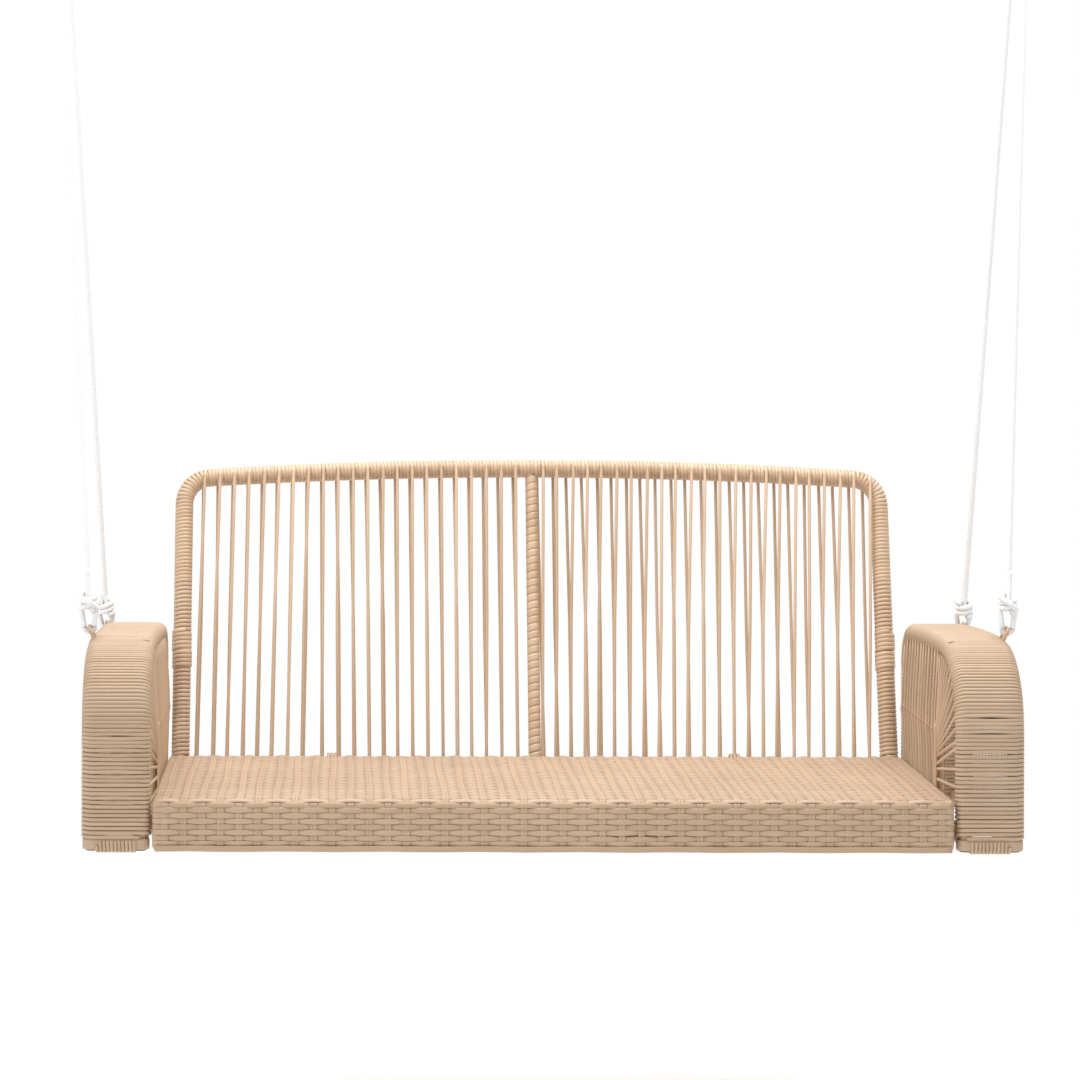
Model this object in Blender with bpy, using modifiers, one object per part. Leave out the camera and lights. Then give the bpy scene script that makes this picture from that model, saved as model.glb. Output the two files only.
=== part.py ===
"""Two-seat woven porch swing on four ropes.

Frame: metres, +Z up, +X to the sitter's left hand as seen from the front,
front of the seat towards -Y. The origin lies on the ceiling plane midway
between the two hangers, so the whole swing hangs below it. The hinge of the
swing is the line along X through the bowls of the two hooks.
"""
import math

import bmesh
import bpy
from mathutils import Matrix, Vector

# ---------------------------------------------------------------- sizes, metres
CEILING_H = 1.690          # ceiling plane above the underside of the seat
HOOK_H = 1.625             # centre of the hook rod at the bottom of its bowl
HOOK_D = 0.3165             # hook line behind the front of the seat
HOOK_X = 0.705             # hooks left and right of the middle
GAP = 0.0003               # clearance between pieces that touch

PLATE = (0.060, 0.110, 0.008)   # ceiling plate: across, front to back, thick
PLATE_HOLE_R = 0.00325
PLATE_HOLE_Y = 0.038
HOOK_ROD_R = 0.005
HOOK_BOWL_R = 0.016
RING_R = 0.027
RING_ROD_R = 0.004

ROPE_R = 0.004
ROPE_FRONT_D = 0.140       # rope lugs behind the front of the seat
ROPE_REAR_D = 0.490
FRONT_KNOT_RISE = 0.034    # knots above the lug crowns, along the rope
REAR_KNOT_RISE = 0.028
KNOT_R = (0.0115, 0.0105, 0.0135)
RING_KNOT_DROP = 0.040
EYE_STEP = 0.0095          # rope eyes either side of the lowest point of the ring

SEAT_HALF = 0.5465
SEAT_DEPTH = 0.485
SEAT_H = 0.072
WEAVE = 0.003
RAIL_R = 0.0095
WALL = 0.0015
EDGE_R = 0.0128

ARM_IN = 0.549             # inner face of the arm band
ARM_W = 0.096
ARM_DEPTH = 0.520
ARM_TOP = 0.282            # highest point, where the front curve ends
ARM_FALL = 0.0095          # how much lower the top is at its rear end
ARM_TURN_H = 0.150         # where the front of the arm begins to curve
ARM_TURN_D = 0.170         # where the curve ends in the gently falling top
ARM_FULL = 2.4             # fullness of the front curve, 2 for an ellipse
ARM_REAR_R = 0.050
BAND_T = 0.030
BAND_WALL = 0.0045
SEAM_D = 0.117             # seam between the two lengths of band
BAND_LOW = 0.0235          # lower edge of the band above the underside
BASE_H = 0.0125            # centre of the arm's bottom rails
BRACE_X = 0.5552
BRACE_R = 0.0045
BRACE_H = 0.145
BRACE_D = 0.170
PANEL_T = 0.005
LUG_R = 0.0025
LUG_OUT = 0.031            # lug crown from the middle of the arch tube
LUG_HALF = 0.011
LUG_TILT = math.radians(24)

BACK_X = 0.531
BACK_D = 0.5000
BACK_BEND_H = 0.065
BACK_SLOPE = 0.30
BACK_R = 0.014
BACK_CORNER = 0.040
BACK_SIDE_H = 0.479
BACK_RISE = 0.0145
BACK_RAIL_H = 0.030
POST_R = 0.0095

BOLT_R = 0.0035
BOLT_D = (0.085, 0.400)

# ---------------------------------------------------------------- clean start
for old in list(bpy.data.objects):
    bpy.data.objects.remove(old, do_unlink=True)

scene = bpy.context.scene
parts = bpy.data.collections.new("porch_swing")
guides = bpy.data.collections.new("cutters")
scene.collection.children.link(parts)
scene.collection.children.link(guides)


def material(name, rgb, rough, metal=0.0):
    mat = bpy.data.materials.new(name)
    mat.use_nodes = True
    shader = mat.node_tree.nodes["Principled BSDF"]
    shader.inputs["Base Color"].default_value = (*rgb, 1.0)
    shader.inputs["Roughness"].default_value = rough
    shader.inputs["Metallic"].default_value = metal
    mat.diffuse_color = (*rgb, 1.0)
    return mat


RATTAN = material("tan_cord", (0.62, 0.42, 0.25), 0.55)
WEAVING = material("tan_weave", (0.56, 0.37, 0.21), 0.55)
FRAME = material("tan_frame", (0.50, 0.34, 0.20), 0.45)
STEEL = material("zinc_steel", (0.62, 0.63, 0.64), 0.30, 1.0)
ROPE = material("white_rope", (0.83, 0.84, 0.85), 0.80)
BLACK = material("black_plastic", (0.02, 0.02, 0.02), 0.45)


def place(x, depth, height):
    """A point given by its distance behind the seat front and above the underside."""
    return Vector((x, depth - HOOK_D, height - CEILING_H))


def finish(obj, mat, guide=False):
    (guides if guide else parts).objects.link(obj)
    if obj.data.materials:
        obj.data.materials[0] = mat
    else:
        obj.data.materials.append(mat)
    if guide:
        obj.hide_render = True
        obj.display_type = "WIRE"
    return obj


def smooth(mesh, angle=40):
    mesh.shade_smooth()
    mesh.set_sharp_from_angle(angle=math.radians(angle))


def rod(name, points, radius, mat, caps=True, res=2, wall=0.0, guide=False):
    """A round rod, or a tube with open ends, along the given points."""
    origin = points[0].copy()
    curve = bpy.data.curves.new(name, "CURVE")
    curve.dimensions = "3D"
    curve.bevel_depth = radius
    curve.bevel_resolution = res
    curve.use_fill_caps = caps and wall == 0.0
    spline = curve.splines.new("POLY")
    spline.points.add(len(points) - 1)
    for slot, point in zip(spline.points, points):
        slot.co = (*(point - origin), 1.0)
    obj = bpy.data.objects.new(name, curve)
    obj.location = origin
    finish(obj, mat, guide)
    if wall:
        shell = obj.modifiers.new("wall", "SOLIDIFY")
        shell.thickness = wall
        shell.offset = -1.0
    return obj


def as_mesh(obj, weld=1e-5):
    """Turn a curve object into a mesh object of the same name and place."""
    bpy.context.view_layer.update()
    graph = bpy.context.evaluated_depsgraph_get()
    mesh = bpy.data.meshes.new_from_object(obj.evaluated_get(graph))
    bm = bmesh.new()
    bm.from_mesh(mesh)
    bmesh.ops.remove_doubles(bm, verts=bm.verts, dist=weld)
    bmesh.ops.recalc_face_normals(bm, faces=bm.faces)
    bm.to_mesh(mesh)
    bm.free()
    name, world, mat = obj.name, obj.matrix_world.copy(), obj.data.materials[0]
    guide = obj.name in guides.objects
    curve = obj.data
    bpy.data.objects.remove(obj, do_unlink=True)
    bpy.data.curves.remove(curve)
    solid = bpy.data.objects.new(name, mesh)
    mesh.name = name
    solid.matrix_world = world
    finish(solid, mat, guide)
    smooth(mesh)
    return solid


def boolean(obj, other, kind):
    mod = obj.modifiers.new(kind.lower(), "BOOLEAN")
    mod.operation = kind
    mod.object = other


def box(name, low, high, mat, bevel=0.0, guide=False):
    bpy.ops.mesh.primitive_cube_add(size=1.0, location=(low + high) / 2)
    obj = bpy.context.active_object
    obj.name = name
    obj.data.name = name
    for col in list(obj.users_collection):
        col.objects.unlink(obj)
    obj.data.transform(Matrix.Diagonal((*(high - low), 1.0)))
    finish(obj, mat, guide)
    if bevel:
        mod = obj.modifiers.new("edge", "BEVEL")
        mod.width = bevel
        mod.segments = 2
    return obj


def drill(name, centre, axis, radius, depth):
    """A cylinder used as a cutter."""
    bpy.ops.mesh.primitive_cylinder_add(vertices=12, radius=radius, depth=depth, location=centre)
    obj = bpy.context.active_object
    obj.name = name
    for col in list(obj.users_collection):
        col.objects.unlink(obj)
    obj.rotation_euler = Vector(axis).to_track_quat("Z", "Y").to_euler()
    return finish(obj, STEEL, True)


def outline(name, points, half, mat, origin, turn):
    """A flat plate of thickness 2 * half from a closed outline in its own XY plane."""
    curve = bpy.data.curves.new(name, "CURVE")
    curve.dimensions = "2D"
    curve.fill_mode = "BOTH"
    curve.extrude = half
    spline = curve.splines.new("POLY")
    spline.points.add(len(points) - 1)
    for slot, (u, v) in zip(spline.points, points):
        slot.co = (u, v, 0.0, 1.0)
    spline.use_cyclic_u = True
    obj = bpy.data.objects.new(name, curve)
    obj.location = origin
    obj.rotation_euler = turn
    return finish(obj, mat)


def arc(cu, cv, ru, rv, start, stop, steps):
    """Points on a quarter of an ellipse, angles in degrees."""
    out = []
    for i in range(steps + 1):
        a = math.radians(start + (stop - start) * i / steps)
        out.append((cu + ru * math.cos(a), cv + rv * math.sin(a)))
    return out


SIDE_VIEW = (math.pi / 2, 0.0, math.pi / 2)   # local x, y, z become world y, z, x


# ---------------------------------------------------------------- ceiling hangers
def hanger(side, sign):
    x = sign * HOOK_X
    name = "ceiling_hanger_" + side
    top = CEILING_H
    plate = box(name, place(x - PLATE[0] / 2, HOOK_D - PLATE[1] / 2, top - PLATE[2]),
                place(x + PLATE[0] / 2, HOOK_D + PLATE[1] / 2, top), STEEL, bevel=0.0012)
    for i, dy in enumerate((-PLATE_HOLE_Y, PLATE_HOLE_Y)):
        boolean(plate, drill("screw_hole_%s_%d" % (side, i), place(x, HOOK_D + dy, top - 0.004),
                             (0, 0, 1), PLATE_HOLE_R, 0.03), "DIFFERENCE")
    middle = HOOK_H + HOOK_BOWL_R
    path = [place(x, HOOK_D, top - 0.003), place(x, HOOK_D, middle + HOOK_BOWL_R + 0.006)]
    for i in range(17):
        a = math.radians(78 - i * 268 / 16)
        path.append(place(x + sign * HOOK_BOWL_R * math.cos(a), HOOK_D, middle + HOOK_BOWL_R * math.sin(a)))
    hook = as_mesh(rod("hook_" + side, path, HOOK_ROD_R, STEEL, guide=True))
    boolean(plate, hook, "UNION")
    return plate


def ring(side, sign):
    centre = place(sign * HOOK_X, HOOK_D, HOOK_H + HOOK_ROD_R + GAP - (RING_R - RING_ROD_R))
    bpy.ops.mesh.primitive_torus_add(major_radius=RING_R, minor_radius=RING_ROD_R, major_segments=24,
                                     minor_segments=8, location=centre, rotation=(0, math.pi / 2, 0))
    obj = bpy.context.active_object
    obj.name = "hang_ring_" + side
    for col in list(obj.users_collection):
        col.objects.unlink(obj)
    smooth(obj.data)
    return finish(obj, STEEL)


# ---------------------------------------------------------------- arm frames
MID = BAND_T / 2
TUBE_IN = ARM_IN + MID
TUBE_OUT = ARM_IN + ARM_W - MID
REAR_TURN = math.radians(86)                  # where the top runs into the rear corner
REAR_D = ARM_DEPTH - MID - ARM_REAR_R         # middle of the rear corner
REAR_H = ARM_TOP - MID - ARM_FALL - ARM_REAR_R * math.sin(REAR_TURN)
CROWN_END = REAR_D + ARM_REAR_R * math.cos(REAR_TURN)


def arch_height(depth):
    """Height of the arch tube's centre line at a depth on its curve or top."""
    if depth >= CROWN_END:
        return REAR_H + math.sqrt(max(0.0, ARM_REAR_R ** 2 - (depth - REAR_D) ** 2))
    if depth >= ARM_TURN_D:
        return ARM_TOP - MID - ARM_FALL * ((depth - ARM_TURN_D) / (CROWN_END - ARM_TURN_D)) ** 2
    k = min(1.0, (ARM_TURN_D - depth) / (ARM_TURN_D - MID))
    return ARM_TURN_H + (ARM_TOP - ARM_TURN_H - MID) * (1 - k ** ARM_FULL) ** (1 / ARM_FULL)


def arch_slope(depth):
    return (arch_height(depth + 0.001) - arch_height(depth - 0.001)) / 0.002


def arch(low=BASE_H, steps=9):
    """The arch tube's centre line as (depth, height), from the front foot to the rear foot."""
    out = [(MID, low), (MID, ARM_TURN_H)]
    for i in range(1, steps + 1):
        a = math.pi / 2 * i / steps
        k = math.cos(a) ** (2 / ARM_FULL) if i < steps else 0.0
        depth = ARM_TURN_D - (ARM_TURN_D - MID) * k
        out.append((depth, arch_height(depth)))
    for i in range(1, 5):
        depth = ARM_TURN_D + (CROWN_END - ARM_TURN_D) * i / 4
        out.append((depth, arch_height(depth)))
    out += arc(REAR_D, REAR_H, ARM_REAR_R, ARM_REAR_R, 86, 0, 5)[1:]
    out += [(ARM_DEPTH - MID, low)]
    return out


def parallel(line, gap):
    """The same run of points moved sideways, to the inside of the arch."""
    out = []
    for i, (d, h) in enumerate(line):
        before = Vector(line[max(i - 1, 0)])
        after = Vector(line[min(i + 1, len(line) - 1)])
        here = Vector((d, h))
        one = (here - before).normalized() if i else (after - here).normalized()
        two = (after - here).normalized() if i < len(line) - 1 else one
        mean = (one + two).normalized()
        scale = gap / max(0.5, mean.dot(one))
        out.append((d + mean.y * scale, h - mean.x * scale))
    return out


def lug_frame(sign, depth):
    """Middle of the arch tube, the way the lug stands out, and the tube's direction."""
    centre = place(sign * TUBE_OUT, depth, arch_height(depth))
    along = Vector((0, 1, arch_slope(depth))).normalized()
    up = Vector((0, -along.z, along.y))
    out = (up * math.cos(LUG_TILT) + Vector((sign, 0, 0)) * math.sin(LUG_TILT)).normalized()
    return centre, out, along


def arm(side, sign):
    for where, x in (("inner", sign * TUBE_IN), ("outer", sign * TUBE_OUT)):
        tube = rod("arm_tube_%s_%s" % (where, side), [place(x, d, h) for d, h in arch(0.004)],
                   RAIL_R, FRAME, wall=WALL)
        if where == "outer":
            tube = as_mesh(tube)
            for spot, depth in (("front", ROPE_FRONT_D), ("rear", ROPE_REAR_D)):
                centre, out, along = lug_frame(sign, depth)
                foot, shoulder = RAIL_R - 0.0028, LUG_OUT - 0.006
                path = [centre + out * foot - along * LUG_HALF, centre + out * shoulder - along * LUG_HALF]
                for i in range(1, 4):
                    a = math.pi / 2 * i / 4
                    path.append(centre + out * (shoulder + 0.006 * math.sin(a))
                                - along * (LUG_HALF - 0.006 * (1 - math.cos(a))))
                path.append(centre + out * LUG_OUT - along * (LUG_HALF - 0.006))
                path += [p - 2 * (p - centre).dot(along) * along for p in reversed(path)]
                boolean(tube, as_mesh(rod("lug_%s_%s" % (spot, side), path, LUG_R, FRAME, guide=True)), "UNION")
        rail = as_mesh(rod("arm_rail_%s_%s" % (where, side),
                           [place(x, MID + RAIL_R + GAP, BASE_H), place(x, ARM_DEPTH - MID - RAIL_R - GAP, BASE_H)],
                           RAIL_R, FRAME, wall=WALL, res=4))
        if where == "inner":
            for i, depth in enumerate(BOLT_D):
                boolean(rail, drill("rail_hole_%s_%d" % (side, i), place(x, depth, BASE_H), (1, 0, 0),
                                    BOLT_R + GAP, 0.04), "DIFFERENCE")
        panel_x = sign * (ARM_IN + 0.0135) if where == "inner" else sign * (TUBE_OUT + 0.004)
        shape = parallel(arch(BASE_H + RAIL_R + GAP), MID + 0.0008)
        outline("arm_strands_%s_%s" % (where, side), shape, PANEL_T / 2, RATTAN,
                place(panel_x, 0, 0), SIDE_VIEW)
    for spot, depth in (("front", MID), ("rear", ARM_DEPTH - MID)):
        rod("arm_spacer_%s_%s" % (spot, side),
            [place(sign * (TUBE_IN + RAIL_R + GAP), depth, BASE_H), place(sign * (TUBE_OUT - RAIL_R - GAP), depth, BASE_H)],
            RAIL_R, RATTAN, res=4)
    for where, x in (("inner", TUBE_IN), ("outer", TUBE_OUT)):
        cap(side, where, sign * x)
    brace_post = [place(sign * BRACE_X, BRACE_D, BASE_H + RAIL_R + 0.0005),
                  place(sign * BRACE_X, BRACE_D, arch_height(BRACE_D) - MID - 0.001)]
    brace_bar = [place(sign * BRACE_X, BRACE_D - 0.001, BRACE_H),
                 place(sign * BRACE_X, ARM_DEPTH - BAND_T - 0.0008, BRACE_H)]
    brace = as_mesh(rod("arm_brace_" + side, brace_post, BRACE_R, FRAME))
    boolean(brace, as_mesh(rod("brace_bar_" + side, brace_bar, BRACE_R, FRAME, guide=True)), "UNION")
    band(side, sign)


def cap(side, where, x):
    """A black plug under the open end of a front leg."""
    mesh = bpy.data.meshes.new("arm_cap_%s_%s" % (where, side))
    profile = [(0.0, 0.0140), (0.0066, 0.0140), (0.0072, 0.0125), (0.0072, 0.0), (0.0092, 0.0), (0.0092, -0.0028),
               (0.0080, -0.0038), (0.0, -0.0038)]
    mesh.from_pydata([(r, 0.0, z) for r, z in profile], [(i, i + 1) for i in range(len(profile) - 1)], [])
    obj = bpy.data.objects.new(mesh.name, mesh)
    obj.location = place(x, MID, 0.0037)
    turn = obj.modifiers.new("turn", "SCREW")
    turn.steps = turn.render_steps = 12
    turn.use_merge_vertices = True
    turn.merge_threshold = 1e-5
    finish(obj, BLACK)


def band_profile():
    """Rounded outline of the band, a turn of cord round both arch tubes."""
    if "band_profile" in bpy.data.objects:
        return bpy.data.objects["band_profile"]
    curve = bpy.data.curves.new("band_profile", "CURVE")
    curve.dimensions = "2D"
    half_w, half_t, r = ARM_W / 2, BAND_T / 2, 0.0145
    pts = []
    for cu, cv, start in ((half_t - r, half_w - r, 0), (r - half_t, half_w - r, 90),
                          (r - half_t, r - half_w, 180), (half_t - r, r - half_w, 270)):
        pts += arc(cu, cv, r, r, start, start + 90, 3)
    spline = curve.splines.new("POLY")
    spline.points.add(len(pts) - 1)
    for slot, (u, v) in zip(spline.points, pts):
        slot.co = (u, v, 0.0, 1.0)
    spline.use_cyclic_u = True
    return finish(bpy.data.objects.new("band_profile", curve), RATTAN, True)


def band(side, sign):
    line = arch(BAND_LOW)
    ends = [(d, arch_height(d)) for d in (SEAM_D - 0.0035, SEAM_D, SEAM_D + 0.0007, SEAM_D + 0.0042)]
    front = [p for p in line if p[0] < SEAM_D - 0.008] + ends[:2]
    rear = ends[2:] + [p for p in line if p[0] > SEAM_D + 0.008]
    for name, points in (("arm_band_front_" + side, front), ("arm_band_top_" + side, rear)):
        curve = bpy.data.curves.new(name, "CURVE")
        curve.dimensions = "2D"
        curve.fill_mode = "NONE"
        curve.bevel_mode = "OBJECT"
        curve.bevel_object = band_profile()
        spline = curve.splines.new("POLY")
        spline.points.add(len(points) - 1)
        for slot, (u, v) in zip(spline.points, points):
            slot.co = (u, v, 0.0, 1.0)
        obj = bpy.data.objects.new(name, curve)
        obj.location = place(sign * (ARM_IN + ARM_W / 2), 0, 0)
        obj.rotation_euler = SIDE_VIEW
        finish(obj, RATTAN)
        shell = obj.modifiers.new("wall", "SOLIDIFY")
        shell.thickness = BAND_WALL
        shell.offset = 1.0
        solid = as_mesh(obj)
        if "front" in name:
            continue
        for spot, depth in (("front", ROPE_FRONT_D), ("rear", ROPE_REAR_D)):
            centre, out, along = lug_frame(sign, depth)
            for i, step in enumerate((-LUG_HALF, LUG_HALF)):
                boolean(solid, drill("lug_hole_%s_%s_%d" % (spot, side, i), centre + out * 0.017 + along * step,
                                     out, LUG_R + 0.0008, 0.024), "DIFFERENCE")


# ---------------------------------------------------------------- seat
def seat():
    front_d = WEAVE + GAP + RAIL_R
    rear_d = SEAT_DEPTH - front_d
    low, high = WEAVE + GAP + RAIL_R, SEAT_H - WEAVE - GAP - RAIL_R
    inner = SEAT_HALF - 0.0050
    for name, depth, height in (("seat_rail_front_upper", front_d, high), ("seat_rail_front_lower", front_d, low),
                                ("seat_rail_rear_upper", rear_d, high), ("seat_rail_rear_lower", rear_d, low)):
        rod(name, [place(-inner, depth, height), place(inner, depth, height)], RAIL_R, FRAME, res=4, wall=WALL)
    for side, sign in (("left", -1), ("right", 1)):
        x0, x1 = inner + GAP, SEAT_HALF - 0.0005
        e = WEAVE + 0.0005
        r = EDGE_R - e
        shape = arc(EDGE_R, EDGE_R, r, r, 270, 180, 3) + arc(EDGE_R, SEAT_H - EDGE_R, r, r, 180, 90, 3)
        shape += arc(SEAT_DEPTH - EDGE_R, SEAT_H - EDGE_R, r, r, 90, 0, 3)
        shape += arc(SEAT_DEPTH - EDGE_R, EDGE_R, r, r, 0, -90, 3)
        plate = as_mesh(outline("seat_side_" + side, shape, (x1 - x0) / 2, FRAME,
                                place(sign * (x0 + x1) / 2, 0, 0), SIDE_VIEW))
        for i, depth in enumerate(BOLT_D):
            boolean(plate, drill("side_hole_%s_%d" % (side, i), place(sign * (SEAT_HALF - 0.003), depth, BASE_H),
                                 (1, 0, 0), BOLT_R + GAP, 0.03), "DIFFERENCE")
            bolt("seat_bolt_%s_%s" % (("front", "rear")[i], side), sign, depth)
    r = EDGE_R
    line = [(0.030, 0.0)] + arc(r, r, r, r, 270, 180, 3) + arc(r, SEAT_H - r, r, r, 180, 90, 4)
    line += arc(SEAT_DEPTH - r, SEAT_H - r, r, r, 90, 0, 4) + arc(SEAT_DEPTH - r, r, r, r, 0, -90, 3)
    line += [(SEAT_DEPTH - 0.030, 0.0)]
    curve = bpy.data.curves.new("seat_weave", "CURVE")
    curve.dimensions = "2D"
    curve.fill_mode = "NONE"
    curve.extrude = SEAT_HALF
    spline = curve.splines.new("POLY")
    spline.points.add(len(line) - 1)
    for slot, (u, v) in zip(spline.points, line):
        slot.co = (u, v, 0.0, 1.0)
    obj = bpy.data.objects.new("seat_weave", curve)
    obj.location = place(0, 0, 0)
    obj.rotation_euler = SIDE_VIEW
    finish(obj, WEAVING)
    shell = obj.modifiers.new("thickness", "SOLIDIFY")
    shell.thickness = WEAVE
    shell.offset = -1.0
    return obj



def bolt(name, sign, depth):
    """Head against the arm rail, shank through rail and seat side, nut inside the seat."""
    far = TUBE_IN + RAIL_R + GAP            # under the head
    near = SEAT_HALF - 0.0050 - GAP           # face of the nut
    grip = far - near
    mesh = bpy.data.meshes.new(name)
    profile = [(0.0, 0.005), (0.0065, 0.005), (0.0072, 0.0042), (0.0072, 0.0), (BOLT_R, 0.0),
               (BOLT_R, -grip), (0.0065, -grip), (0.0065, -grip - 0.0055), (BOLT_R, -grip - 0.0055),
               (BOLT_R, -grip - 0.009), (0.0, -grip - 0.009)]
    mesh.from_pydata([(r, 0.0, z) for r, z in profile], [(i, i + 1) for i in range(len(profile) - 1)], [])
    obj = bpy.data.objects.new(name, mesh)
    obj.location = place(sign * far, depth, BASE_H)
    obj.rotation_euler = (0.0, sign * math.pi / 2, 0.0)
    turn = obj.modifiers.new("turn", "SCREW")
    turn.steps = turn.render_steps = 10
    turn.use_merge_vertices = True
    turn.merge_threshold = 1e-5
    finish(obj, STEEL)


# ---------------------------------------------------------------- backrest
def back_depth(height):
    return BACK_D + max(0.0, height - BACK_BEND_H) * BACK_SLOPE


def back():
    side_top = BACK_SIDE_H - BACK_CORNER
    left = [(-BACK_X, 0.004), (-BACK_X, BACK_BEND_H - 0.012), (-BACK_X, BACK_BEND_H + 0.012)]
    left += arc(BACK_CORNER - BACK_X, side_top, BACK_CORNER, BACK_CORNER, 180, 90, 5)
    half = BACK_X - BACK_CORNER
    top = [(x, BACK_SIDE_H + BACK_RISE * (1 - (x / half) ** 2)) for x in [half * (i / 7 - 1) for i in range(1, 7)]]
    line = left + top + [(0.0, BACK_SIDE_H + BACK_RISE)]
    line += [(-x, h) for x, h in reversed(left + top)]
    rod("back_hoop", [place(x, back_depth(h), h) for x, h in line], BACK_R, RATTAN, res=3, wall=0.006)
    reach = BACK_X - BACK_R - GAP
    rod("back_rail_lower", [place(-reach, BACK_D, BACK_RAIL_H), place(reach, BACK_D, BACK_RAIL_H)], POST_R,
        RATTAN, res=4)
    under = BACK_SIDE_H + BACK_RISE - BACK_R * math.hypot(1, BACK_SLOPE) - 0.0006
    post = [BACK_RAIL_H + POST_R + GAP, BACK_BEND_H - 0.006, BACK_BEND_H + 0.006, under]
    rod("back_post_middle", [place(0, back_depth(h), h) for h in post], POST_R, RATTAN, res=3)
    lean = math.atan(BACK_SLOPE)
    base = BACK_RAIL_H + POST_R + 0.006
    for side, sign in (("left", -1), ("right", 1)):
        near, far = POST_R + 0.0008, BACK_X - BACK_R - 0.0008
        stretch = math.hypot(1, BACK_SLOPE)
        edge = []
        for i in range(7):
            x = near + (far - 0.026 - near) * i / 6
            edge.append((x, BACK_SIDE_H + BACK_RISE * (1 - (x / half) ** 2) - BACK_R / stretch - 0.0022))
        corner = BACK_CORNER - BACK_R - 0.0008
        edge += arc(far - corner, BACK_SIDE_H - BACK_CORNER, corner, corner, 80, 0, 4)
        points = [(near, base)] + edge + [(far, base)]
        origin = place(0, back_depth(BACK_BEND_H) + (base - BACK_BEND_H) * BACK_SLOPE, base)
        shape = [(sign * x, (h - base) * stretch) for x, h in points]
        outline("back_strands_" + side, shape, PANEL_T / 2, RATTAN, origin, (math.pi / 2 - lean, 0, 0))


# ---------------------------------------------------------------- ropes
def loop_path(centre, lift, lateral, reach, radius):
    """A drop-shaped eye: round the given point, closing at the knot below or above it."""
    out = []
    for i in range(9):
        a = math.radians(-20 + 220 * i / 8)
        out.append(centre + lateral * radius * math.cos(a) + lift * radius * math.sin(a))
    knot_end = centre - lift * reach
    return [knot_end + lateral * 0.003] + out + [knot_end - lateral * 0.003]


def knot(name, centre, lift, loop, tail):
    """Loop, knot and doubled tail of one rope end as one solid."""
    bpy.ops.mesh.primitive_uv_sphere_add(segments=12, ring_count=8, radius=1.0, location=centre)
    obj = bpy.context.active_object
    obj.name = name
    obj.data.name = name
    for col in list(obj.users_collection):
        col.objects.unlink(obj)
    obj.data.transform(Matrix.Diagonal((*KNOT_R, 1.0)))
    obj.rotation_euler = lift.to_track_quat("Z", "Y").to_euler()
    smooth(obj.data)
    finish(obj, ROPE)
    boolean(obj, as_mesh(rod(name + "_loop", loop, ROPE_R - 0.0002, ROPE, guide=True)), "UNION")
    boolean(obj, as_mesh(rod(name + "_tail", tail, ROPE_R - 0.0006, ROPE, guide=True)), "UNION")
    return obj


def rope(side, sign, spot, depth, rise):
    step = -EYE_STEP if spot == "front" else EYE_STEP
    ring_centre = place(sign * HOOK_X, HOOK_D, HOOK_H + HOOK_ROD_R + GAP - (RING_R - RING_ROD_R))
    dip = math.sqrt(RING_R ** 2 - step ** 2)
    grip = ring_centre + Vector((0, step, -dip))
    middle, out, along = lug_frame(sign, depth)
    crown = middle + out * LUG_OUT
    foot = crown + (grip - crown).normalized() * rise
    lift = (grip - foot).normalized()
    lateral = (Vector((1, 0, 0)) - lift * lift.x).normalized()
    # eye over the lower rod of the ring; the ring's rod runs through its middle
    radius = 0.0105
    centre = grip + lift * (RING_ROD_R + GAP + ROPE_R - radius)
    high_knot = grip - lift * RING_KNOT_DROP
    loop = loop_path(centre, lift, lateral, (centre - high_knot).length - 0.004, radius)
    aside = lift.cross(lateral).normalized() * (1 if spot == "rear" else -1)
    tail_step = aside * 0.0088
    knot("ring_eye_%s_%s" % (spot, side), high_knot, lift, loop,
         [high_knot + tail_step * 0.8, high_knot + tail_step - lift * 0.022, high_knot + tail_step - lift * 0.045])
    # eye through the lug on the arch tube
    up = (lift - along * lift.dot(along)).normalized()
    side_way = along.cross(up).normalized()
    small = LUG_R + GAP + ROPE_R + 0.0006
    path = [foot + side_way * 0.0055 - lift * 0.004]
    for i in range(9):
        a = math.radians(15 - 210 * i / 8)
        path.append(crown + side_way * small * math.cos(a) + up * small * math.sin(a))
    path.append(foot - side_way * 0.0055 - lift * 0.004)
    knot("arm_eye_%s_%s" % (spot, side), foot, lift, path,
         [foot + tail_step * 0.8, foot + tail_step + lift * 0.022, foot + tail_step + lift * 0.045])
    start = high_knot - lift * (KNOT_R[2] + GAP + 0.0002)
    stop = foot + lift * (KNOT_R[2] + GAP + 0.0002)
    count = 40
    rod("rope_%s_%s" % (spot, side), [start.lerp(stop, i / count) for i in range(count + 1)], ROPE_R, ROPE)


# ---------------------------------------------------------------- assembly
fixed = []
for side_name, side_sign in (("left", -1), ("right", 1)):
    fixed.append(hanger(side_name, side_sign).name)
    ring(side_name, side_sign)
    arm(side_name, side_sign)
    rope(side_name, side_sign, "front", ROPE_FRONT_D, FRONT_KNOT_RISE)
    rope(side_name, side_sign, "rear", ROPE_REAR_D, REAR_KNOT_RISE)
seat()
back()

pivot = bpy.data.objects.new("swing_pivot", None)
pivot.location = place(0, HOOK_D, HOOK_H)
scene.collection.objects.link(pivot)
bpy.context.view_layer.update()
for piece in list(parts.objects):
    if piece.name not in fixed:
        piece.parent = pivot
        piece.matrix_parent_inverse = pivot.matrix_world.inverted()
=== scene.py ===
"""Looks of a two-seat woven porch swing on four ropes.

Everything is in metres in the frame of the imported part: +Z up, the front of the
seat towards -Y, and the origin on the ceiling plane midway between the hangers.
"""
import math

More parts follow.
